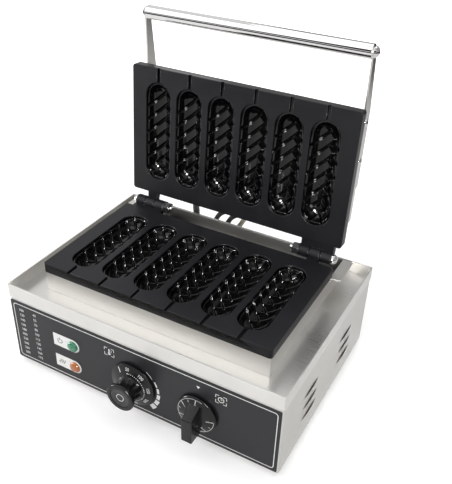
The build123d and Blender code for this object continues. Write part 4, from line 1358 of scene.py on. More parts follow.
    def troughs(self) -> Mesh:
        """The plaited troughs by Geometry Nodes: bars at 45 degrees between soft grooves.

        Returns:
            The mesh of all the cavities in the casting's frame.
        """
        tree = Tree("plaited_troughs", {
            "Straight Half": self.straight,
            "Mouth Radius": self.mouth_radius - self.seam,
            "Bar Radius": self.bar_radius,
            "Groove Radius": self.groove_radius,
            "Ledge Depth": self.ledge_depth,
            "Groove Half Width": self.groove_half_width,
            "Groove Softness": self.groove_softness,
            "Plait Pitch": self.plait_pitch,
            "Plait Offset": self.plait_offset,
            "Plait Shift": self.plait_shift,
            "Cavity Pitch": self.pitch,
            "Cavity Middle": self.cavity_middle,
            "Face": self.face,
        })
        cell = self.plait_pitch / self.cells_per_plait
        columns = 2 * math.ceil((self.mouth_radius + 2 * self.plait_offset) / cell)
        rows = 2 * math.ceil((self.cavity_length / 2 - self.plait_shift) / cell)
        grid = tree.node(
            "GeometryNodeMeshGrid", Size_X=columns * cell, Size_Y=rows * cell,
            Vertices_X=columns + 1, Vertices_Y=rows + 1,
        )
        shift = (-self.plait_offset, self.plait_shift, 0.0)
        start = tree.node("GeometryNodeTransform", Geometry=grid, Translation=shift)
        u, v, _ = tree.position()
        radius = tree.input("Mouth Radius")
        past = (v.math("ABSOLUTE") - tree.input("Straight Half")).math("MAXIMUM", 0.0)
        reach = (u * u + past * past).math("SQRT")
        outside = tree.node(
            "GeometryNodeFieldOnDomain", {"domain": "POINT", "data_type": "FLOAT"},
            Value=reach.math("GREATER_THAN", radius),
        )
        kept = tree.node(
            "GeometryNodeDeleteGeometry", {"domain": "FACE"}, Geometry=start,
            Selection=Field(tree, outside.outputs[0]).math("GREATER_THAN", self.all_corners),
        )
        pull = (radius / reach.math("MAXIMUM", SOLID_MERGE)).math("MINIMUM", 1.0)
        new_u = u * pull
        new_v = v + v.math("SIGN") * (past * pull - past)
        near = reach.math("MINIMUM", radius)

        def hollow(size: Field) -> Field:
            """The depth of a round bottom of a radius."""
            return (size * size - near * near).math("MAXIMUM", 0.0).math("SQRT")

        ledge = tree.input("Ledge Depth")
        bars = hollow(tree.input("Bar Radius")).math("MAXIMUM", ledge)
        floor = hollow(tree.input("Groove Radius")).math("MAXIMUM", ledge)
        pitch, offset = tree.input("Plait Pitch"), tree.input("Plait Offset")
        shift = tree.input("Plait Shift")
        last = float(self.plait_reach)

        def line_distance(along: Field) -> Field:
            """The distance from the nearest of a row of lines at 45 degrees."""
            nearest = (along / pitch).math("ROUND").math("MAXIMUM", -last).math("MINIMUM", last)
            return (along - nearest * pitch).math("ABSOLUTE") * math.sqrt(0.5)

        long_gap = line_distance(v - shift + u + offset)
        short_gap = line_distance(v - shift - u - offset)
        off_long = (u + offset + pitch * 0.5).math("LESS_THAN", 0.0)
        off_short = (u + offset).math("GREATER_THAN", 0.0)
        gap = (long_gap + off_long).math("MINIMUM", short_gap + off_short)
        half, soft = tree.input("Groove Half Width"), tree.input("Groove Softness")
        ramp = tree.node(
            "ShaderNodeMapRange", {"interpolation_type": "SMOOTHSTEP"}, Value=gap,
            From_Min=half - soft, From_Max=half + soft, To_Min=1.0, To_Max=0.0,
        )
        depth = bars + (floor - bars) * Field(tree, ramp.outputs[0])
        spot = tree.point(new_u, new_v, depth)
        sunk = tree.node("GeometryNodeSetPosition", Geometry=kept, Position=spot)
        cut = tree.node("GeometryNodeTriangulate", {"quad_method": "SHORTEST_DIAGONAL"}, Mesh=sunk)
        turned = tree.node("GeometryNodeFlipFaces", Mesh=cut)
        smooth = tree.node("GeometryNodeSetShadeSmooth", Geometry=turned)
        across = tree.input("Cavity Pitch")
        side = across * (-(self.cavities - 1) / 2)
        first = tree.point(side, tree.input("Cavity Middle"), tree.input("Face"))
        spots = tree.node(
            "GeometryNodeMeshLine", Count=self.cavities, Offset=tree.point(across), Start_Location=first
        )
        copies = tree.node("GeometryNodeInstanceOnPoints", Points=spots, Instance=smooth)
        return tree.mesh(copies, Slot.CASTING)

    def close(self, whole: Shape) -> None:
        """Join each trough's rim to the wall of its mouth.

        Args:
            whole: The slab with the troughs beside it.
        """
        open_edges = [edge for edge in whole.mesh.edges if edge.is_boundary]
        for u in self.cavity_places():
            near = [e for e in open_edges if abs(e.verts[0].co.x - u) < self.pitch / 2]
            made = bmesh.ops.bridge_loops(whole.mesh, edges=near)
            for face in made["faces"]:
                face.smooth = True
        limit = math.radians(self.rim_crease)
        for edge in open_edges:
            edge.smooth = len(edge.link_faces) == 2 and edge.calc_face_angle(0.0) < limit

    def mark(self, whole: Shape) -> None:
        """Mark what lies inside a mouth or a slot, for the finish's gloss and painted shade.

        Args:
            whole: The finished casting.
        """
        layer = whole.mesh.verts.layers.float.new(HOLLOW)
        places = self.cavity_places()
        ledge = self.ledge_depth + self.seam
        for vert in whole.mesh.verts:
            off = min(abs(vert.co.x - u) for u in places)
            along, depth = vert.co.y - self.cavity_middle, vert.co.z - self.face
            reach = math.hypot(off, max(abs(along) - self.straight, 0.0))
            inside = reach < self.mouth_radius + self.seam
            slot = off < self.slot_width / 2 + self.seam and along > 0 and depth < ledge
            vert[layer] = float(depth > self.slot_depth - self.seam and (inside or slot))

    def build(self, shop: Workshop, node: str, body: Body, place: Matrix) -> None:
        """Make one plate with its troughs.

        Args:
            shop: Where the piece goes.
            node: The node that it stands for.
            body: The body that it rides on.
            place: From the casting's frame to the solids' frame.
        """
        whole = self.slab().outwards().smooth()
        whole.take(self.troughs())
        self.close(whole)
        bmesh.ops.recalc_face_normals(whole.mesh, faces=whole.mesh.faces)
        for side, indices in self.knuckles:
            for index in indices:
                whole.add(self.lug(side * self.hinge_centre, index).outwards().smooth())
            if len(indices) > 1:
                whole.add(self.web(side * self.hinge_centre).outwards().smooth())
        self.mark(whole)
        shop.piece(f"{node}_casting", whole, Slot.CASTING, body, place, [node], angle=None)


# Pieces finished from their solids


@dataclass(frozen=True)
class Eased:
    """A sheet or turned piece that keeps its solid's shape, with eased edges and smooth rounds."""

    node: str
    slot: Slot
    body: Body
    ease: float = 0.0003
    crease: float = 38.0
    flat: float = 0.5
    segments: int = 2

    def adjust(self, shape: Shape) -> None:
        """Change the solid's shape before it is eased; most pieces keep it."""

    def build(self, shop: Workshop, nodes: dict[str, Object]) -> None:
        """Make the piece.

        Args:
            shop: Where the piece goes.
            nodes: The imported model's nodes by name.
        """
        shape = Shape()
        mesh = shape.mesh
        mesh.from_mesh(nodes[self.node].data)
        shape.outwards(SOLID_MERGE)
        self.adjust(shape)
        bmesh.ops.dissolve_limit(
            mesh, angle_limit=math.radians(self.flat), verts=mesh.verts, edges=mesh.edges
        )
        limit = math.radians(self.crease)
        edges = [e for e in mesh.edges if len(e.link_faces) == 2 and e.calc_face_angle(0.0) > limit]
        if self.ease > 0:
            bmesh.ops.bevel(
                mesh, geom=edges, offset=self.ease, segments=self.segments, profile=0.5,
                affect="EDGES", clamp_overlap=True,
            )
        shop.piece(f"{self.node}_finished", shape, self.slot, self.body, replaces=[self.node])


@dataclass(frozen=True)
class LouvredHousing(Eased):
    """The housing, with its pressed louvres turned so that their mouths look up, as photographed."""

    wall: float = 0.174
    sheet: float = 0.001
    half_length: float = 0.018
    height: float = 0.007
    lowest: float = 0.0265
    pitch: float = 0.0158
    count: int = 3
    offset: float = 0.051
    slack: float = 0.00005
    stretch: float = 1.1
    flatten: float = 0.55

    def adjust(self, shape: Shape) -> None:
        """Mirror each louvre about its middle height, make it slimmer and fill the walls round it again.

        Args:
            shape: The housing in the solids' frame.
        """
        foots = [self.lowest + i * self.pitch for i in range(self.count)]
        for vert in shape.mesh.verts:
            x, y, z = vert.co
            inside = abs(x) < self.wall - self.sheet - self.slack
            if inside or abs(abs(y) - self.offset) > self.half_length + self.slack:
                continue
            for low in foots:
                if low - self.slack <= z <= low + self.height + self.slack:
                    middle = math.copysign(self.offset, y)
                    back = math.copysign(max(abs(x) - self.wall, 0.0) * (1 - self.flatten), x)
                    along = middle + (y - middle) * self.stretch
                    vert.co = (x - back, along, 2 * low + self.height - z)
                    break
        for plane in (self.wall, self.wall - self.sheet):
            for side in (-1, 1):
                self.refill(shape, side * plane)

    def refill(self, shape: Shape, plane: float) -> None:
        """Replace the flat faces in one plane by new ones within the same edges.

        Args:
            shape: The housing.
            plane: The plane's x.
        """

        def lies(item: BMFace | BMEdge) -> bool:
            """Whether it lies in the plane."""
            return all(abs(vert.co.x - plane) < self.slack for vert in item.verts)

        faces = [face for face in shape.mesh.faces if lies(face)]
        bmesh.ops.delete(shape.mesh, geom=faces, context="FACES")
        edges = [edge for edge in shape.mesh.edges if edge.is_boundary and lies(edge)]
        bmesh.ops.triangle_fill(shape.mesh, use_beauty=True, edges=edges)


EASED = [
    Eased("drip_tray", Slot.TRAY, Body.BASE, 0.0004),
    Eased("riser_frame", Slot.STAINLESS, Body.BASE, 0.0003),
    LouvredHousing("housing_shell", Slot.STAINLESS, Body.BASE, 0.0),
    Eased("rear_panel", Slot.STAINLESS, Body.BASE, 0.0),
    Eased("base_plate", Slot.STAINLESS, Body.BASE, 0.0),
    Eased("lid_cover", Slot.STAINLESS, Body.LID, 0.0004),
    Eased("handle_arm_left", Slot.STAINLESS, Body.LID, 0.0004),
    Eased("handle_arm_right", Slot.STAINLESS, Body.LID, 0.0004),
    Eased("handle_bolts", Slot.POLISHED, Body.LID, 0.0),
    Eased("hinge_bolts", Slot.POLISHED, Body.BASE, 0.0),
    Eased("hinge_washers", Slot.BLACK_STEEL, Body.BASE, 0.0002),
    Eased("hinge_nuts", Slot.BLACK_STEEL, Body.BASE, 0.0003),
    Eased("arm_nuts", Slot.ZINC, Body.LID, 0.0002),
    Eased("feet", Slot.RUBBER, Body.BASE, 0.0005),
    Eased("rear_grommets", Slot.RUBBER, Body.BASE, 0.0003),
    Eased("lid_grommets", Slot.RUBBER, Body.LID, 0.0003),
    Eased("power_inlet", Slot.RUBBER, Body.BASE, 0.0004),
    Eased("lamp_bodies", Slot.BAKELITE, Body.BASE, 0.0002),
    Eased("upper_lamp_plate", Slot.WHITE, Body.BASE, 0.0002),
    Eased("lower_lamp_plate", Slot.WHITE, Body.BASE, 0.0002),
    Eased("capillary_tube", Slot.COPPER, Body.BASE, 0.0),
    Eased("lower_element", Slot.SHEATH, Body.BASE, 0.0),
    Eased("upper_element", Slot.SHEATH, Body.LID, 0.0),
]


@dataclass
class HandleTube:
    """The round chromed tube between the two arms."""

    wall: float = 0.0015
    segments: int = 96

    def build(self, shop: Workshop) -> None:
        """Make the tube along its solid.

        Args:
            shop: Where the piece goes.
        """
        low, high = box_corners("handle_tube")
        radius = (high.z - low.z) / 2
        middle = (low + high) / 2
        outer, bore = circle(radius, self.segments), circle(radius - self.wall, self.segments)
        shape = Shape().frame(outer, bore, low.x, high.x)
        place = frame_matrix((0, middle.y, middle.z), (0, 1, 0), (1, 0, 0))
        shop.piece("handle_tube_chromed", shape, Slot.POLISHED, Body.LID, place, ["handle_tube"])


# Screws by Geometry Nodes


@dataclass(frozen=True)
class Screws:
    """A group of like cross-recessed screws, each where its solid is."""

    node: str
    slot: Slot
    body: Body
    facing: Point
    head_radius: float
    head_height: float
    shank_radius: float
    mirrored: bool = False
    recess_share: float = 1.1
    recess_width_share: float = 0.22
    recess_depth_share: float = 0.55
    dome_stop: float = 0.96
    dome_rings: int = 7
    segments: int = 28
    crease: float = 40.0

    def spots(self, nodes: dict[str, Object]) -> tuple[Mesh, float]:
        """Find the screws of the solid.

        Args:
            nodes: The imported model's nodes by name.

        Returns:
            Points with their directions, and the length of one screw.
        """
        whole = bmesh.new()
        whole.from_mesh(nodes[self.node].data)
        bmesh.ops.remove_doubles(whole, verts=whole.verts, dist=SOLID_MERGE)
        left, groups = set(whole.verts), []
        while left:
            stack, found = [left.pop()], []
            while stack:
                vert = stack.pop()
                found.append(vert.co.copy())
                for edge in vert.link_edges:
                    other = edge.other_vert(vert)
                    if other in left:
                        left.remove(other)
                        stack.append(other)
            groups.append(found)
        whole.free()
        points, directions, length = [], [], 0.0
        for found in groups:
            middle = sum(found, Vector()) / len(found)
            way = Vector(self.facing)
            if self.mirrored and middle.x < 0:
                way.x = -way.x
            reach = [way.dot(p) for p in found]
            low = Vector([min(p[i] for p in found) for i in range(3)])
            high = Vector([max(p[i] for p in found) for i in range(3)])
            centre = (low + high) / 2
            points.append(centre + way * (max(reach) - way.dot(centre)))
            directions.append(way)
            length = max(reach) - min(reach)
        mesh = bpy.data.meshes.new("spots")
        mesh.from_pydata(points, [], [])
        facing = mesh.attributes.new("facing", "FLOAT_VECTOR", "POINT")
        for item, way in zip(facing.data, directions):
            item.vector = way
        return mesh, length

    def build(self, shop: Workshop, nodes: dict[str, Object]) -> None:
        """Make the screws by a node tree: a dome less a cross, on a shank.

        Args:
            shop: Where the piece goes.
            nodes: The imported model's nodes by name.
        """
        spots, length = self.spots(nodes)
        tree = Tree(f"{self.node}_pattern", {
            "Head Radius": self.head_radius, "Head Height": self.head_height,
            "Shank Radius": self.shank_radius, "Length": length,
        })
        radius, height = tree.input("Head Radius"), tree.input("Head Height")
        blank = tree.node(
            "GeometryNodeMeshCylinder", Vertices=self.segments, Side_Segments=self.dome_rings,
            Radius=1.0, Depth=1.0,
        )
        x, y, z = tree.position()
        rise = ((z + 0.5) * self.dome_stop).math("MAXIMUM", 0.0)
        girth = (rise * rise * -1.0 + 1.0).math("MAXIMUM", 0.0).math("SQRT") * radius
        domed = tree.point(x * girth, y * girth, (rise / self.dome_stop - 1.0) * height)
        dome = tree.node("GeometryNodeSetPosition", Geometry=blank, Position=domed)
        across = radius * self.recess_share
        thin = radius * self.recess_width_share
        deep = height * self.recess_depth_share * 2.0
        bars = [
            tree.node("GeometryNodeMeshCube", Size=tree.point(wide, high, deep))
            for wide, high in ((across, thin), (thin, across))
        ]
        cut = tree.node("GeometryNodeMeshBoolean", {"operation": "DIFFERENCE"}, Mesh_1=dome, Mesh_2=bars)
        run, thick = tree.input("Length") - height, tree.input("Shank Radius")
        shank = tree.node("GeometryNodeMeshCylinder", Vertices=self.segments, Radius=thick, Depth=run)
        low = tree.point(z=height * -1.0 - run * 0.5)
        placed = tree.node("GeometryNodeTransform", Geometry=shank, Translation=low)
        screw = tree.node("GeometryNodeJoinGeometry", Geometry=[cut, placed])
        named = tree.node("GeometryNodeInputNamedAttribute", {"data_type": "FLOAT_VECTOR"}, Name="facing")
        turn = tree.node("FunctionNodeAlignRotationToVector", {"axis": "Z"}, Vector=named)
        dots = tree.node("GeometryNodeMeshToPoints", Mesh=tree.entry)
        copies = tree.node("GeometryNodeInstanceOnPoints", Points=dots, Instance=screw, Rotation=turn)
        shape = Shape().take(tree.mesh(copies, self.slot, spots))
        name = f"{self.node}_recessed"
        shop.piece(name, shape, self.slot, self.body, replaces=[self.node], angle=self.crease)


SCREWS = [
    Screws("rear_panel_screws", Slot.ZINC, Body.BASE, (0, 1, 0), 0.0036, 0.002, 0.0018),
    Screws("base_plate_screws", Slot.ZINC, Body.BASE, (0, 0, -1), 0.0036, 0.002, 0.0018),
    Screws("foot_screws", Slot.ZINC, Body.BASE, (0, 0, -1), 0.004, 0.0024, 0.002),
    Screws("cover_screws", Slot.POLISHED, Body.LID, LID_BACK, 0.005, 0.0026, 0.0025),
    Screws("arm_screws", Slot.POLISHED, Body.LID, (1, 0, 0), 0.0042, 0.0024, 0.002, mirrored=True),
]


# Print


def printed_bar(start: Pair, end: Pair, line: float) -> Shape:
    """A straight printed line with square ends.

    Args:
        start: Its first place.
        end: Its last place.
        line: Its width.

    Returns:
        The shape.
    """
    a, b = Vector(start), Vector(end)
    along = (b - a).normalized() * (line / 2)
    side = Vector((-along.y, along.x))
    outline = (a - along - side, b + along - side, b + along + side, a - along + side)
    return Shape().prism([tuple(point) for point in outline], 0.0, INK)


def printed_arc(centre: Pair, radius: float, line: float, start: float, sweep: float, steps: int) -> Shape:
    """A printed arc or, at a whole turn, a ring.

    Args:
        centre: Its centre.
        radius: Its radius, to the middle of the line.
        line: Its width.
        start: Where it starts, in degrees.
        sweep: How far it goes, in degrees.
        steps: Segments along it.

    Returns:
        The shape.
    """
    outer, hole = (
        moved(circle(radius + side * line / 2, steps, math.radians(start), math.radians(sweep)), centre)
        for side in (1, -1)
    )
    if abs(math.radians(sweep)) >= WHOLE_TURN:
        return Shape().frame(outer, hole, 0.0, INK)
    outline = outer + hole[::-1]
    return Shape().prism(outline if sweep > 0 else outline[::-1], 0.0, INK)


def printed_dot(centre: Pair, radius: float, steps: int = 20) -> Shape:
    """A printed dot."""
    return Shape().prism(moved(circle(radius, steps), centre), 0.0, INK)


@dataclass(frozen=True)
class Sign:
    """A plain pictogram about its own centre.

    Bars are (start, end, line), arcs (centre, radius, line, start, sweep, steps), dots (centre, radius).
    """

    bars: tuple[tuple[Pair, Pair, float], ...] = ()
    arcs: tuple[tuple[Pair, float, float, float, float, int], ...] = ()
    dots: tuple[tuple[Pair, float], ...] = ()

    def shape(self) -> Shape:
        """Print the sign.

        Returns:
            The shape.
        """
        whole = Shape()
        kinds = ((printed_bar, self.bars), (printed_arc, self.arcs), (printed_dot, self.dots))
        for draw, strokes in kinds:
            for stroke in strokes:
                whole.add(draw(*stroke))
        return whole


THERMOMETER = Sign(
    bars=(
        ((0.0, -0.002), (0.0, 0.0036), 0.0015),
        ((0.0022, 0.0006), (0.0034, 0.0006), 0.0005),
        ((0.0022, 0.0026), (0.0034, 0.0026), 0.0005),
    ),
    dots=(((0.0, -0.0024), 0.0019),),
)
CLOCK = Sign(
    bars=(((0.0, 0.0), (0.0, 0.0022), 0.0007), ((0.0, 0.0), (0.0014, 0.0), 0.0007)),
    arcs=(((0.0, 0.0), 0.0033, 0.0008, 0.0, 360.0, 28),),
)
POWER = Sign(
    bars=(((0.0, 0.0008), (0.0, 0.0042), 0.0008),),
    arcs=(((0.0, 0.0), 0.0032, 0.0008, 125.0, 290.0, 30),),
)
HEAT = Sign(arcs=tuple(
    ((across, height), 0.0014, 0.0008, first, 160.0, 10)
    for across in (-0.003, 0.0, 0.003)
    for height, first in ((0.0014, -80.0), (-0.0014, 100.0))
))


# Front label


@dataclass
class Panel:
    """The printed front: border, plain-number table, signs, gauge, marker and the lamps' lenses."""

    stretch: float = 0.0016
    film_corner: float = 0.0015
    border_inset: float = 0.0036
    border_line: float = 0.0009
    border_corner: float = 0.004
    border_steps: int = 8
    row_pitch: float = 0.0071
    row_top: float = 0.0748
    rows: int = 10
    # Place, first number and step of each column
    columns: tuple[tuple[float, int, int], ...] = ((-0.1592, 100, 20), (-0.1396, 40, 15))
    number_size: float = 0.0049
    sign_line: float = 0.0007
    sign_width: float = 0.0125
    sign_height: float = 0.0105
    sign_corner: float = 0.0034
    sign_level: float = 0.0687
    heat_sign: float = -0.0337
    time_sign: float = 0.1058
    heat_height: float = 0.038
    time_height: float = 0.037
    marker: tuple[Pair, ...] = ((0.0, 0.0337), (0.0022, 0.0373), (-0.0022, 0.0373))
    gauge_inner: float = 0.0303
    gauge_first: float = 0.0018
    gauge_growth: float = 0.0011
    gauge_steps: int = 5
    gauge_start: float = 22.0
    gauge_pitch: float = -16.0
    gauge_fill: float = 12.5
    gauge_tail: tuple[float, float, float, float, int] = (0.03, 0.0006, 55.0, -20.0, 20)
    arc_steps: int = 6
    lens_radius: float = 0.0069
    lens_rim: float = 0.0009
    lens_steps: int = 12
    lens_segments: int = 48
    lamp_sign: float = 0.0095
    width: float = field(init=False)
    height: float = field(init=False)
    depth: float = field(init=False)
    place: Matrix = field(init=False)

    def __post_init__(self) -> None:
        """Take the label's place and size from its solid."""
        low, high = box_corners("front_label")
        self.width, self.depth, self.height = high - low
        self.place = frame_matrix(((low.x + high.x) / 2, low.y, low.z), (1, 0, 0), (0, -1, 0))

    def brackets(self) -> Shape:
        """Four corner brackets for a sign.

        Returns:
            The shape about the sign's centre.
        """
        marks = Shape()
        for sx in (-1, 1):
            for sy in (-1, 1):
                x, y = sx * self.sign_width / 2, sy * self.sign_height / 2
                for end in ((x - sx * self.sign_corner, y), (x, y - sy * self.sign_corner)):
                    marks.add(printed_bar((x, y), end, self.sign_line))
        return marks

    def numbers(self) -> Shape:
        """The plain-number table.

        Returns:
            The shape in the label's frame.
        """
        whole = Shape()
        for x, first, step in self.columns:
            for row in range(self.rows):
                spot = Matrix.Translation((x, self.row_top - row * self.row_pitch, INK / 2))
                whole.take(text_mesh(str(first + step * row), self.number_size), spot)
        return whole

    def gauge(self, centre: Pair) -> Shape:
        """The widening gauge beside the temperature dial.

        Args:
            centre: The dial's centre.

        Returns:
            The shape in the label's frame.
        """
        marks = printed_arc(centre, *self.gauge_tail)
        for step in range(self.gauge_steps):
            line = self.gauge_first + self.gauge_growth * step
            angle = self.gauge_start + step * self.gauge_pitch + self.gauge_fill / 2
            middle = self.gauge_inner + line / 2
            marks.add(printed_arc(centre, middle, line, angle, -self.gauge_fill, self.arc_steps))
        return marks

    def dial_centre(self, node: str, height: float) -> Pair:
        """A dial's centre in the label's own frame.

        Args:
            node: The dial's solid.
            height: How high it sits on the label.

        Returns:
            The centre.
        """
        low, high = box_corners(node)
        spot = self.place.inverted() @ Vector(((low.x + high.x) / 2, low.y, 0.0))
        return spot.x, height

    def build(self, shop: Workshop) -> None:
        """Print the label and fit the lenses.

        Args:
            shop: Where the pieces go.
        """
        wide, middle = self.width + self.stretch, (-self.stretch / 2, self.height / 2)
        film = moved(rounded_rectangle(wide, self.height, self.film_corner), middle)
        shape = Shape().prism(film, -self.depth, 0.0, INK)
        shop.piece("front_label_film", shape, Slot.LABEL, Body.BASE, self.place, ["front_label"])
        room = 2 * self.border_inset
        border = rounded_rectangle(wide - room, self.height - room, self.border_corner, self.border_steps)
        border = moved(border, middle)
        whole = Shape().frame(border, inset(border, self.border_line), 0.0, INK)
        whole.add(self.numbers())
        time = self.dial_centre("timer_knob", self.time_height)
        whole.add(Shape().prism(moved(self.marker, time), 0.0, INK))
        whole.add(self.gauge(self.dial_centre("temperature_knob", self.heat_height)))
        for sign, across in ((THERMOMETER, self.heat_sign), (CLOCK, self.time_sign)):
            spot = Matrix.Translation((across, self.sign_level, 0.0))
            whole.add(self.brackets(), spot).add(sign.shape(), spot)
        shop.piece("front_label_print", whole, Slot.WHITE, Body.BASE, self.place)
        self.lamps(shop)

    def lens(self, rise: float) -> Shape:
        """A lens: a short rim under a round dome.

        Args:
            rise: Its height.

        Returns:
            The shape with its foot on the lamp plate.
        """
        profile = [(0.0, 0.0), (self.lens_radius, 0.0), (self.lens_radius, self.lens_rim)]
        for step in range(1, self.lens_steps):
            angle = step / self.lens_steps * math.pi / 2
            height = self.lens_rim + (rise - self.lens_rim) * math.sin(angle)
            profile.append((self.lens_radius * math.cos(angle), height))
        return Shape().lathe([*profile, (0.0, rise)], self.lens_segments)

    def lamps(self, shop: Workshop) -> None:
        """Make the two lenses and the signs on their plates.

        Args:
            shop: Where the pieces go.
        """
        signs = Shape()
        for plate, lens, slot, sign in (
            ("upper_lamp_plate", "power_lamp_lens", Slot.GREEN, POWER),
            ("lower_lamp_plate", "heat_lamp_lens", Slot.ORANGE, HEAT),
        ):
            low, high = box_corners(lens)
            plate_low, plate_high = box_corners(plate)
            middle = (low + high) / 2
            place = frame_matrix((middle.x, plate_low.y, middle.z), (1, 0, 0), (0, -1, 0))
            shape = self.lens(plate_low.y - low.y)
            shop.piece(f"{lens}_dome", shape, slot, Body.BASE, place, [lens])
            across = plate_low.x + self.lamp_sign - middle.x
            rise = (plate_low.z + plate_high.z) / 2 - middle.z
            signs.add(sign.shape(), place @ Matrix.Translation((across, rise, 0.0)))
        shop.piece("lamp_plate_signs", signs, Slot.LABEL, Body.BASE)


# Dials


@dataclass
class Dial:
    """What both dials share: their place on the panel, and marks that lie on the skirt."""

    height: float

    def level(self, radius: float) -> float:
        """The skirt's height at a radius."""
        raise NotImplementedError

    def slope(self, radius: float) -> float:
        """The skirt's outward lean at a radius, in radians."""
        raise NotImplementedError

    def spot(self, radius: float, angle: float, lift: float = 0.0) -> Matrix:
        """The frame of a mark on the skirt, whose top points outwards.

        Args:
            radius: Distance from the dial's centre.
            angle: Degrees, 90 at the top.
            lift: Height above the skirt.

        Returns:
            The matrix from the mark's frame to the dial's.
        """
        turn = Matrix.Rotation(math.radians(angle - 90), 4, "Z")
        lean = Matrix.Rotation(-self.slope(radius), 4, "X")
        return turn @ Matrix.Translation((0, radius, self.level(radius) + lift)) @ lean

    def place(self, node: str) -> Matrix:
        """The frame of the dial from its solid: Z out of the panel, Y up."""
        low, high = box_corners(node)
        return frame_matrix(((low.x + high.x) / 2, high.y, self.height), (1, 0, 0), (0, -1, 0))


@dataclass
class TemperatureDial(Dial):
    """Conical skirt with numbers, waisted fluted grip and a flared front with a dished cap."""

    height: float = 0.0455
    skirt_radius: float = 0.0276
    skirt_edge: float = 0.0024
    skirt_height: float = 0.0065
    base_radius: float = 0.0152
    flutes: int = 8
    flute_depth: float = 0.0016
    segments: int = 160
    # Radius, height and share of the flutes, from the back to the bottom of the cap's recess
    profile: tuple[tuple[float, float, float], ...] = (
        (0.027, 0.0, 0.0), (0.0276, 0.0005, 0.0), (0.0276, 0.0019, 0.0), (0.027, 0.0024, 0.0),
        (0.0166, 0.0062, 0.0), (0.0155, 0.0065, 0.3), (0.0152, 0.0077, 0.8), (0.0149, 0.0095, 1.0),
        (0.0138, 0.0135, 1.0), (0.0142, 0.017, 1.0), (0.0158, 0.0203, 0.8), (0.017, 0.0213, 0.25),
        (0.0172, 0.0221, 0.0), (0.0172, 0.0245, 0.0), (0.0169, 0.0251, 0.0), (0.0162, 0.0255, 0.0),
        (0.0126, 0.0255, 0.0), (0.0122, 0.0252, 0.0), (0.0122, 0.0241, 0.0),
    )
    cap_profile: tuple[Pair, ...] = (
        (0.0, 0.0241), (0.012, 0.0241), (0.012, 0.0248), (0.0117, 0.025), (0.0104, 0.025),
        (0.0098, 0.0247), (0.0048, 0.0244), (0.0, 0.0243),
    )
    cap_segments: int = 72
    # Radius, line, start, sweep and steps
    cap_ring: tuple[float, float, float, float, int] = (0.0044, 0.0006, 0.0, 360.0, 40)
    cap_ring_height: float = 0.02445
    numbers: tuple[str, ...] = ("50", "100", "150", "200", "250", "300")
    first_angle: float = 100.0
    number_sweep: float = -225.0
    number_radius: float = 0.0226
    number_size: float = 0.0052
    number_lift: float = 0.0001
    dot_radius: float = 0.0182
    dots_between: int = 5
    dot_sizes: Pair = (0.0007, 0.0005)
    dot_lift: float = 0.00005
    zero_angle: float = 130.0
    zero_bar: tuple[Pair, Pair, float] = ((0.0, -0.0026), (0.0, 0.003), 0.0011)

    def level(self, radius: float) -> float:
        """The cone's height at a radius."""
        return self.skirt_edge + (self.skirt_radius - radius) * math.tan(self.slope(radius))

    def slope(self, radius: float) -> float:
        """The cone's lean, the same at every radius."""
        return math.atan2(self.skirt_height - self.skirt_edge, self.skirt_radius - self.base_radius)

    def body(self) -> Shape:
        """The knob's turned and fluted body.

        Returns:
            The shape in the dial's frame.
        """
        shape, rings = Shape(), []
        for radius, height, share in self.profile:
            points = []
            for i in range(self.segments):
                angle = math.tau * i / self.segments
                hollow = (0.5 + 0.5 * math.cos(self.flutes * angle)) ** 2
                reach = radius - share * self.flute_depth * hollow
                points.append((reach * math.cos(angle), reach * math.sin(angle)))
            rings.append(shape.ring(points, height))
        return shape.stack(rings)

    def marks(self) -> Shape:
        """Numbers and dots on the skirt, a stroke before the first, and a plain ring on the cap.

        Returns:
            The shape in the dial's frame.
        """
        whole = Shape()
        parts, last = self.dots_between + 1, len(self.numbers) - 1
        for i in range(last * parts + 1):
            angle = self.first_angle + self.number_sweep * i / (last * parts)
            dot = printed_dot((0.0, 0.0), self.dot_sizes[1 if i % parts else 0])
            whole.add(dot, self.spot(self.dot_radius, angle, self.dot_lift))
            if i % parts == 0:
                words = text_mesh(self.numbers[i // parts], self.number_size)
                whole.take(words, self.spot(self.number_radius, angle, self.number_lift))
        whole.add(printed_bar(*self.zero_bar), self.spot(self.number_radius, self.zero_angle))
        ring = printed_arc((0.0, 0.0), *self.cap_ring)
        return whole.add(ring, Matrix.Translation((0, 0, self.cap_ring_height)))

    def build(self, shop: Workshop) -> None:
        """Make the knob, its cap and its marks.

        Args:
            shop: Where the pieces go.
        """
        place, body = self.place("temperature_knob"), Body.TEMPERATURE
        cap = Shape().lathe(self.cap_profile, self.cap_segments)
        shop.piece("temperature_knob_fluted", self.body(), Slot.BAKELITE, body, place, ["temperature_knob"])
        shop.piece("temperature_knob_cap_dished", cap, Slot.CAP, body, place, ["temperature_knob_cap"])
        shop.piece("temperature_knob_marks", self.marks(), Slot.WHITE, body, place)


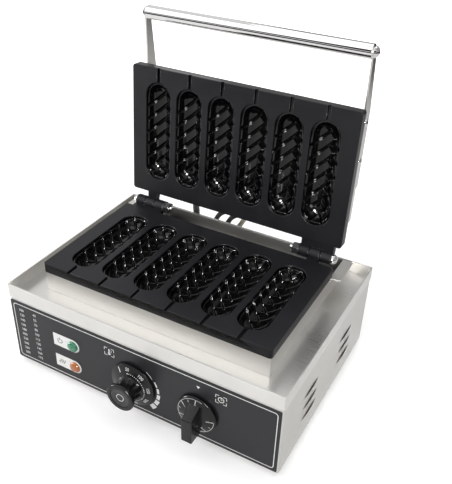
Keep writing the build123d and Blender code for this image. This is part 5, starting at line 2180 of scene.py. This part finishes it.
@dataclass
class TimerDial(Dial):
    """Domed skirt with minute marks and a tall bar grip."""

    height: float = 0.0445
    skirt_height: float = 0.0075
    # Radius and height from the back's middle to the foot of the dome
    rim: tuple[Pair, ...] = ((0.0, 0.0), (0.0231, 0.0), (0.0237, 0.0005), (0.0237, 0.0023))
    dome_radius: float = 0.0231
    dome_foot: float = 0.003
    dome_steps: int = 14
    segments: int = 96
    slope_reach: float = 0.0005
    # Place across and out of the panel, and rounding, of each corner of the grip
    grip: tuple[Point, ...] = (
        (-0.023, 0.0038, 0.0008), (0.017, 0.0026, 0.0), (0.009, 0.023, 0.0022), (-0.023, 0.023, 0.0022),
    )
    grip_width: float = 0.0125
    grip_edge: float = 0.0009
    first_angle: float = 90.0
    minutes: int = 5
    minute_step: float = 54.0
    mark_radius: float = 0.0192
    mark_lift: float = 0.00008
    # Half length and line of a minute's tick and of a half minute's
    ticks: tuple[Pair, Pair] = ((0.0017, 0.0007), (0.0011, 0.0005))
    number_radius: float = 0.0152
    number_size: float = 0.0046
    number_lift: float = 0.00012
    # Radius, line, start, sweep and steps
    outer_line: tuple[float, float, float, float, int] = (0.0216, 0.0004, 70.0, 290.0, 64)
    outer_lift: float = 0.00003

    def level(self, radius: float) -> float:
        """The dome's height at a radius."""
        share = radius / self.dome_radius
        return self.dome_foot + (self.skirt_height - self.dome_foot) * (1 - share * share)

    def slope(self, radius: float) -> float:
        """The dome's lean at a radius, in radians."""
        reach = self.slope_reach
        return math.atan2(self.level(radius - reach) - self.level(radius + reach), 2 * reach)

    def body(self) -> Shape:
        """Skirt and grip.

        Returns:
            The shape in the dial's frame.
        """
        reaches = [self.dome_radius * (1 - i / self.dome_steps) for i in range(self.dome_steps)]
        dome = [(radius, self.level(radius)) for radius in reaches]
        profile = [*self.rim, *dome, (0.0, self.skirt_height)]
        half = self.grip_width / 2
        grip = Shape().prism(fillet(self.grip), -half, half, self.grip_edge)
        return Shape().lathe(profile, self.segments).add(grip, SIDEWAYS)

    def marks(self) -> Shape:
        """Minute numbers, ticks and an outer line.

        Returns:
            The shape in the dial's frame.
        """
        whole = Shape()
        for i in range(2 * self.minutes + 1):
            angle = self.first_angle + i * self.minute_step / 2
            half, line = self.ticks[i % 2]
            tick = printed_bar((0.0, -half), (0.0, half), line)
            whole.add(tick, self.spot(self.mark_radius, angle, self.mark_lift))
            if i % 2 == 0:
                words = text_mesh(str(i // 2), self.number_size)
                whole.take(words, self.spot(self.number_radius, angle, self.number_lift))
        lift = self.level(self.outer_line[0]) + self.outer_lift
        return whole.add(printed_arc((0.0, 0.0), *self.outer_line), Matrix.Translation((0, 0, lift)))

    def build(self, shop: Workshop) -> None:
        """Make the knob and its marks.

        Args:
            shop: Where the pieces go.
        """
        place = self.place("timer_knob")
        shop.piece("timer_knob_moulded", self.body(), Slot.BAKELITE, Body.TIMER, place, ["timer_knob"])
        shop.piece("timer_knob_marks", self.marks(), Slot.WHITE, Body.TIMER, place)


# Leads between the lid and the base


@dataclass(frozen=True)
class Lead:
    """A lead held at both ends, along a smooth route from the lid down to the rear panel."""

    node: str
    radius: float
    route: tuple[Point, ...]
    bend_low: float = 0.056
    bend_high: float = 0.146

    def curve(self, bevel: float) -> Mesh:
        """The route's spline as a mesh.

        Args:
            bevel: The tube's radius, or 0 for the bare line.

        Returns:
            The mesh.
        """
        data = bpy.data.curves.new(self.node, "CURVE")
        data.dimensions = "3D"
        spline = data.splines.new("NURBS")
        spline.points.add(len(self.route) - 1)
        for point, place in zip(spline.points, self.route):
            point.co = (*place, 1.0)
        spline.order_u = 3
        spline.use_endpoint_u = True
        spline.resolution_u = 12
        data.bevel_depth = bevel
        data.bevel_resolution = 6
        data.use_fill_caps = bevel > 0
        return curve_mesh(data)

    def bend(self, piece: Object) -> None:
        """Find the route's points at the bend heights, which nothing uses, and bake the piece's placement
        into its mesh.

        Args:
            piece: The finished lead.
        """
        low = self.at_height(self.bend_low)
        high = self.at_height(self.bend_high)
        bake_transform(piece)

    def at_height(self, height: float) -> Point:
        """The point nearest to a height on the route's free part, without what the grommets hold."""
        return min(self.route[1:-3], key=lambda p: abs(p[2] - height))

    def build(self, shop: Workshop) -> None:
        """Make a sleeved lead.

        Args:
            shop: Where the piece goes.
        """
        shape = Shape().take(self.curve(self.radius))
        piece = shop.piece(f"{self.node}_sleeved", shape, Slot.SLEEVE, None, replaces=[self.node])
        self.bend(piece)


@dataclass(frozen=True)
class BraidedLead(Lead):
    """An earth lead of woven strands about the same kind of route."""

    strands: int = 10
    strand_radius: float = 0.00055
    wave_length: float = 0.016
    points: int = 150
    wave_depth: float = 0.00018
    sides: int = 5
    core_depth: float = 1.6
    crease: float = 60.0

    def build(self, shop: Workshop) -> None:
        """Weave the braid by a node tree on the route's line.

        Args:
            shop: Where the piece goes.
        """
        line = self.curve(0.0)
        tree = Tree("earth_braid", {
            "Radius": self.radius - self.strand_radius, "Strand Radius": self.strand_radius,
            "Wave Length": self.wave_length, "Wave Depth": self.wave_depth,
        })
        path = tree.node("GeometryNodeMeshToCurve", Mesh=tree.entry)
        even = tree.node("GeometryNodeResampleCurve", Curve=path, Count=self.points)
        many = tree.node(
            "GeometryNodeDuplicateElements", {"domain": "SPLINE"}, Geometry=even, Amount=2 * self.strands
        )
        number = Field(tree, many.outputs["Duplicate Index"])
        hand = number.math("GREATER_THAN", self.strands - 0.5) * -2.0 + 1.0
        along = Field(tree, tree.node("GeometryNodeSplineParameter").outputs["Length"])
        phase = number * (math.tau / self.strands)
        angle = along / tree.input("Wave Length") * math.tau * hand + phase
        lift = (angle * (self.strands / 2)).math("SINE") * tree.input("Wave Depth") * hand
        reach = tree.input("Radius") + lift
        normal = tree.node("GeometryNodeInputNormal")
        tangent = tree.node("GeometryNodeInputTangent")
        across = tree.apply("ShaderNodeVectorMath", "CROSS_PRODUCT", tangent, normal)
        offsets = [
            tree.node(
                "ShaderNodeVectorMath", {"operation": "SCALE"}, Vector=way, Scale=angle.math(turn) * reach
            )
            for way, turn in ((normal, "COSINE"), (across, "SINE"))
        ]
        total = tree.apply("ShaderNodeVectorMath", "ADD", *offsets)
        spun = tree.node("GeometryNodeSetPosition", Geometry=many, Offset=total)
        ring = tree.node(
            "GeometryNodeCurvePrimitiveCircle", Resolution=self.sides, Radius=tree.input("Strand Radius")
        )
        woven = tree.node("GeometryNodeCurveToMesh", Curve=spun, Profile_Curve=ring, Fill_Caps=True)
        shape = Shape().take(tree.mesh(woven, Slot.BRAID, line))
        shape.take(self.curve(self.radius - self.core_depth * self.strand_radius))
        name = f"{self.node}_braided"
        piece = shop.piece(name, shape, Slot.BRAID, None, replaces=[self.node], angle=self.crease)
        self.bend(piece)


LEADS = [
    Lead("lid_lead_left", 0.0045, (
        (-0.062, 0.1155, 0.1696), (-0.062, 0.1142, 0.1476), (-0.078, 0.133, 0.124),
        (-0.0868, 0.151, 0.097),
        (-0.0938, 0.162, 0.0775), (-0.0982, 0.1582, 0.0602), (-0.1, 0.1461, 0.0505), (-0.1, 0.134, 0.049),
        (-0.1, 0.117, 0.049),
    )),
    Lead("lid_lead_middle", 0.0033, (
        (-0.003, 0.1115, 0.1698), (-0.003, 0.1102, 0.1479), (-0.038, 0.131, 0.124),
        (-0.0548, 0.1459, 0.097), (-0.0682, 0.155, 0.0775), (-0.0766, 0.1519, 0.0602),
        (-0.08, 0.1418, 0.0505), (-0.08, 0.134, 0.049),
        (-0.08, 0.117, 0.049),
    )),
    Lead("lid_lead_right", 0.0033, (
        (0.014, 0.1115, 0.1698), (0.014, 0.1102, 0.1479), (-0.02, 0.131, 0.124), (-0.0368, 0.1459, 0.097),
        (-0.0502, 0.155, 0.0775), (-0.0586, 0.1519, 0.0602), (-0.062, 0.1418, 0.0505),
        (-0.062, 0.134, 0.049), (-0.062, 0.117, 0.049),
    )),
    BraidedLead("earth_lead", 0.0033, (
        (-0.012, 0.1235, 0.1691), (-0.012, 0.1222, 0.1472), (-0.004, 0.14, 0.124), (-0.02, 0.1536, 0.097),
        (-0.0328, 0.162, 0.0775), (-0.0408, 0.1591, 0.0602), (-0.044, 0.1499, 0.0505),
        (-0.044, 0.134, 0.049), (-0.044, 0.117, 0.049),
    )),
]


# The finish of each node of the solids


DRESSED = {piece.node: piece.slot for piece in (*EASED, *SCREWS)} | {
    node: slot for slot, nodes in {
        Slot.POLISHED: ["handle_tube"],
        Slot.ZINC: [
            "foot_nuts", "lower_clamp_plate", "upper_clamp_plate", "lower_studs", "upper_studs",
            "deck_nuts", "handle_plugs", "temperature_spindle", "timer_spindle", "timer",
        ],
        Slot.CASTING: ["lower_plate", "upper_plate"],
        Slot.CERAMIC: ["lower_element_terminals", "upper_element_terminals", "terminal_block"],
        Slot.WOOL: ["lower_insulation", "upper_insulation"],
        Slot.LABEL: ["front_label"],
        Slot.BAKELITE: ["temperature_knob", "timer_knob", "lamp_nuts", "thermostat"],
        Slot.CAP: ["temperature_knob_cap"],
        Slot.GREEN: ["power_lamp_lens"],
        Slot.ORANGE: ["heat_lamp_lens"],
        Slot.BRASS: ["terminal_screws"],
        Slot.COPPER: ["thermostat_bulb"],
        Slot.SLEEVE: ["lid_lead_left", "lid_lead_middle", "lid_lead_right"],
        Slot.BRAID: ["earth_lead"],
    }.items() for node in nodes
}


def dress_solids(nodes: dict[str, Object]) -> None:
    """Give every node of the solids its finish.

    Args:
        nodes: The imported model's nodes by name.
    """
    for name, slot in DRESSED.items():
        materials = nodes[name].data.materials
        materials.clear()
        materials.append(material_of(slot))
    LOG.info("dressed %d nodes", len(DRESSED))


def main() -> None:
    """Dress the frame, build every sub-assembly and the studio, and report each piece."""
    logging.basicConfig(level=logging.INFO, format="%(name)s: %(message)s")
    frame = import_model()
    nodes = frame["nodes"]
    dress_solids(nodes)
    Studio().build()
    shop = Workshop()
    casting = Casting()
    casting.build(shop, "lower_plate", Body.BASE, LOWER_PLACE)
    casting.build(shop, "upper_plate", Body.LID, UPPER_PLACE)
    for piece in (*EASED, *SCREWS):
        piece.build(shop, nodes)
    HandleTube().build(shop)
    for part in (Panel(), TemperatureDial(), TimerDial(), *LEADS):
        part.build(shop)
    LOG.info("made %d pieces", len(shop.pieces))


if __name__ == "__main__":
    main()
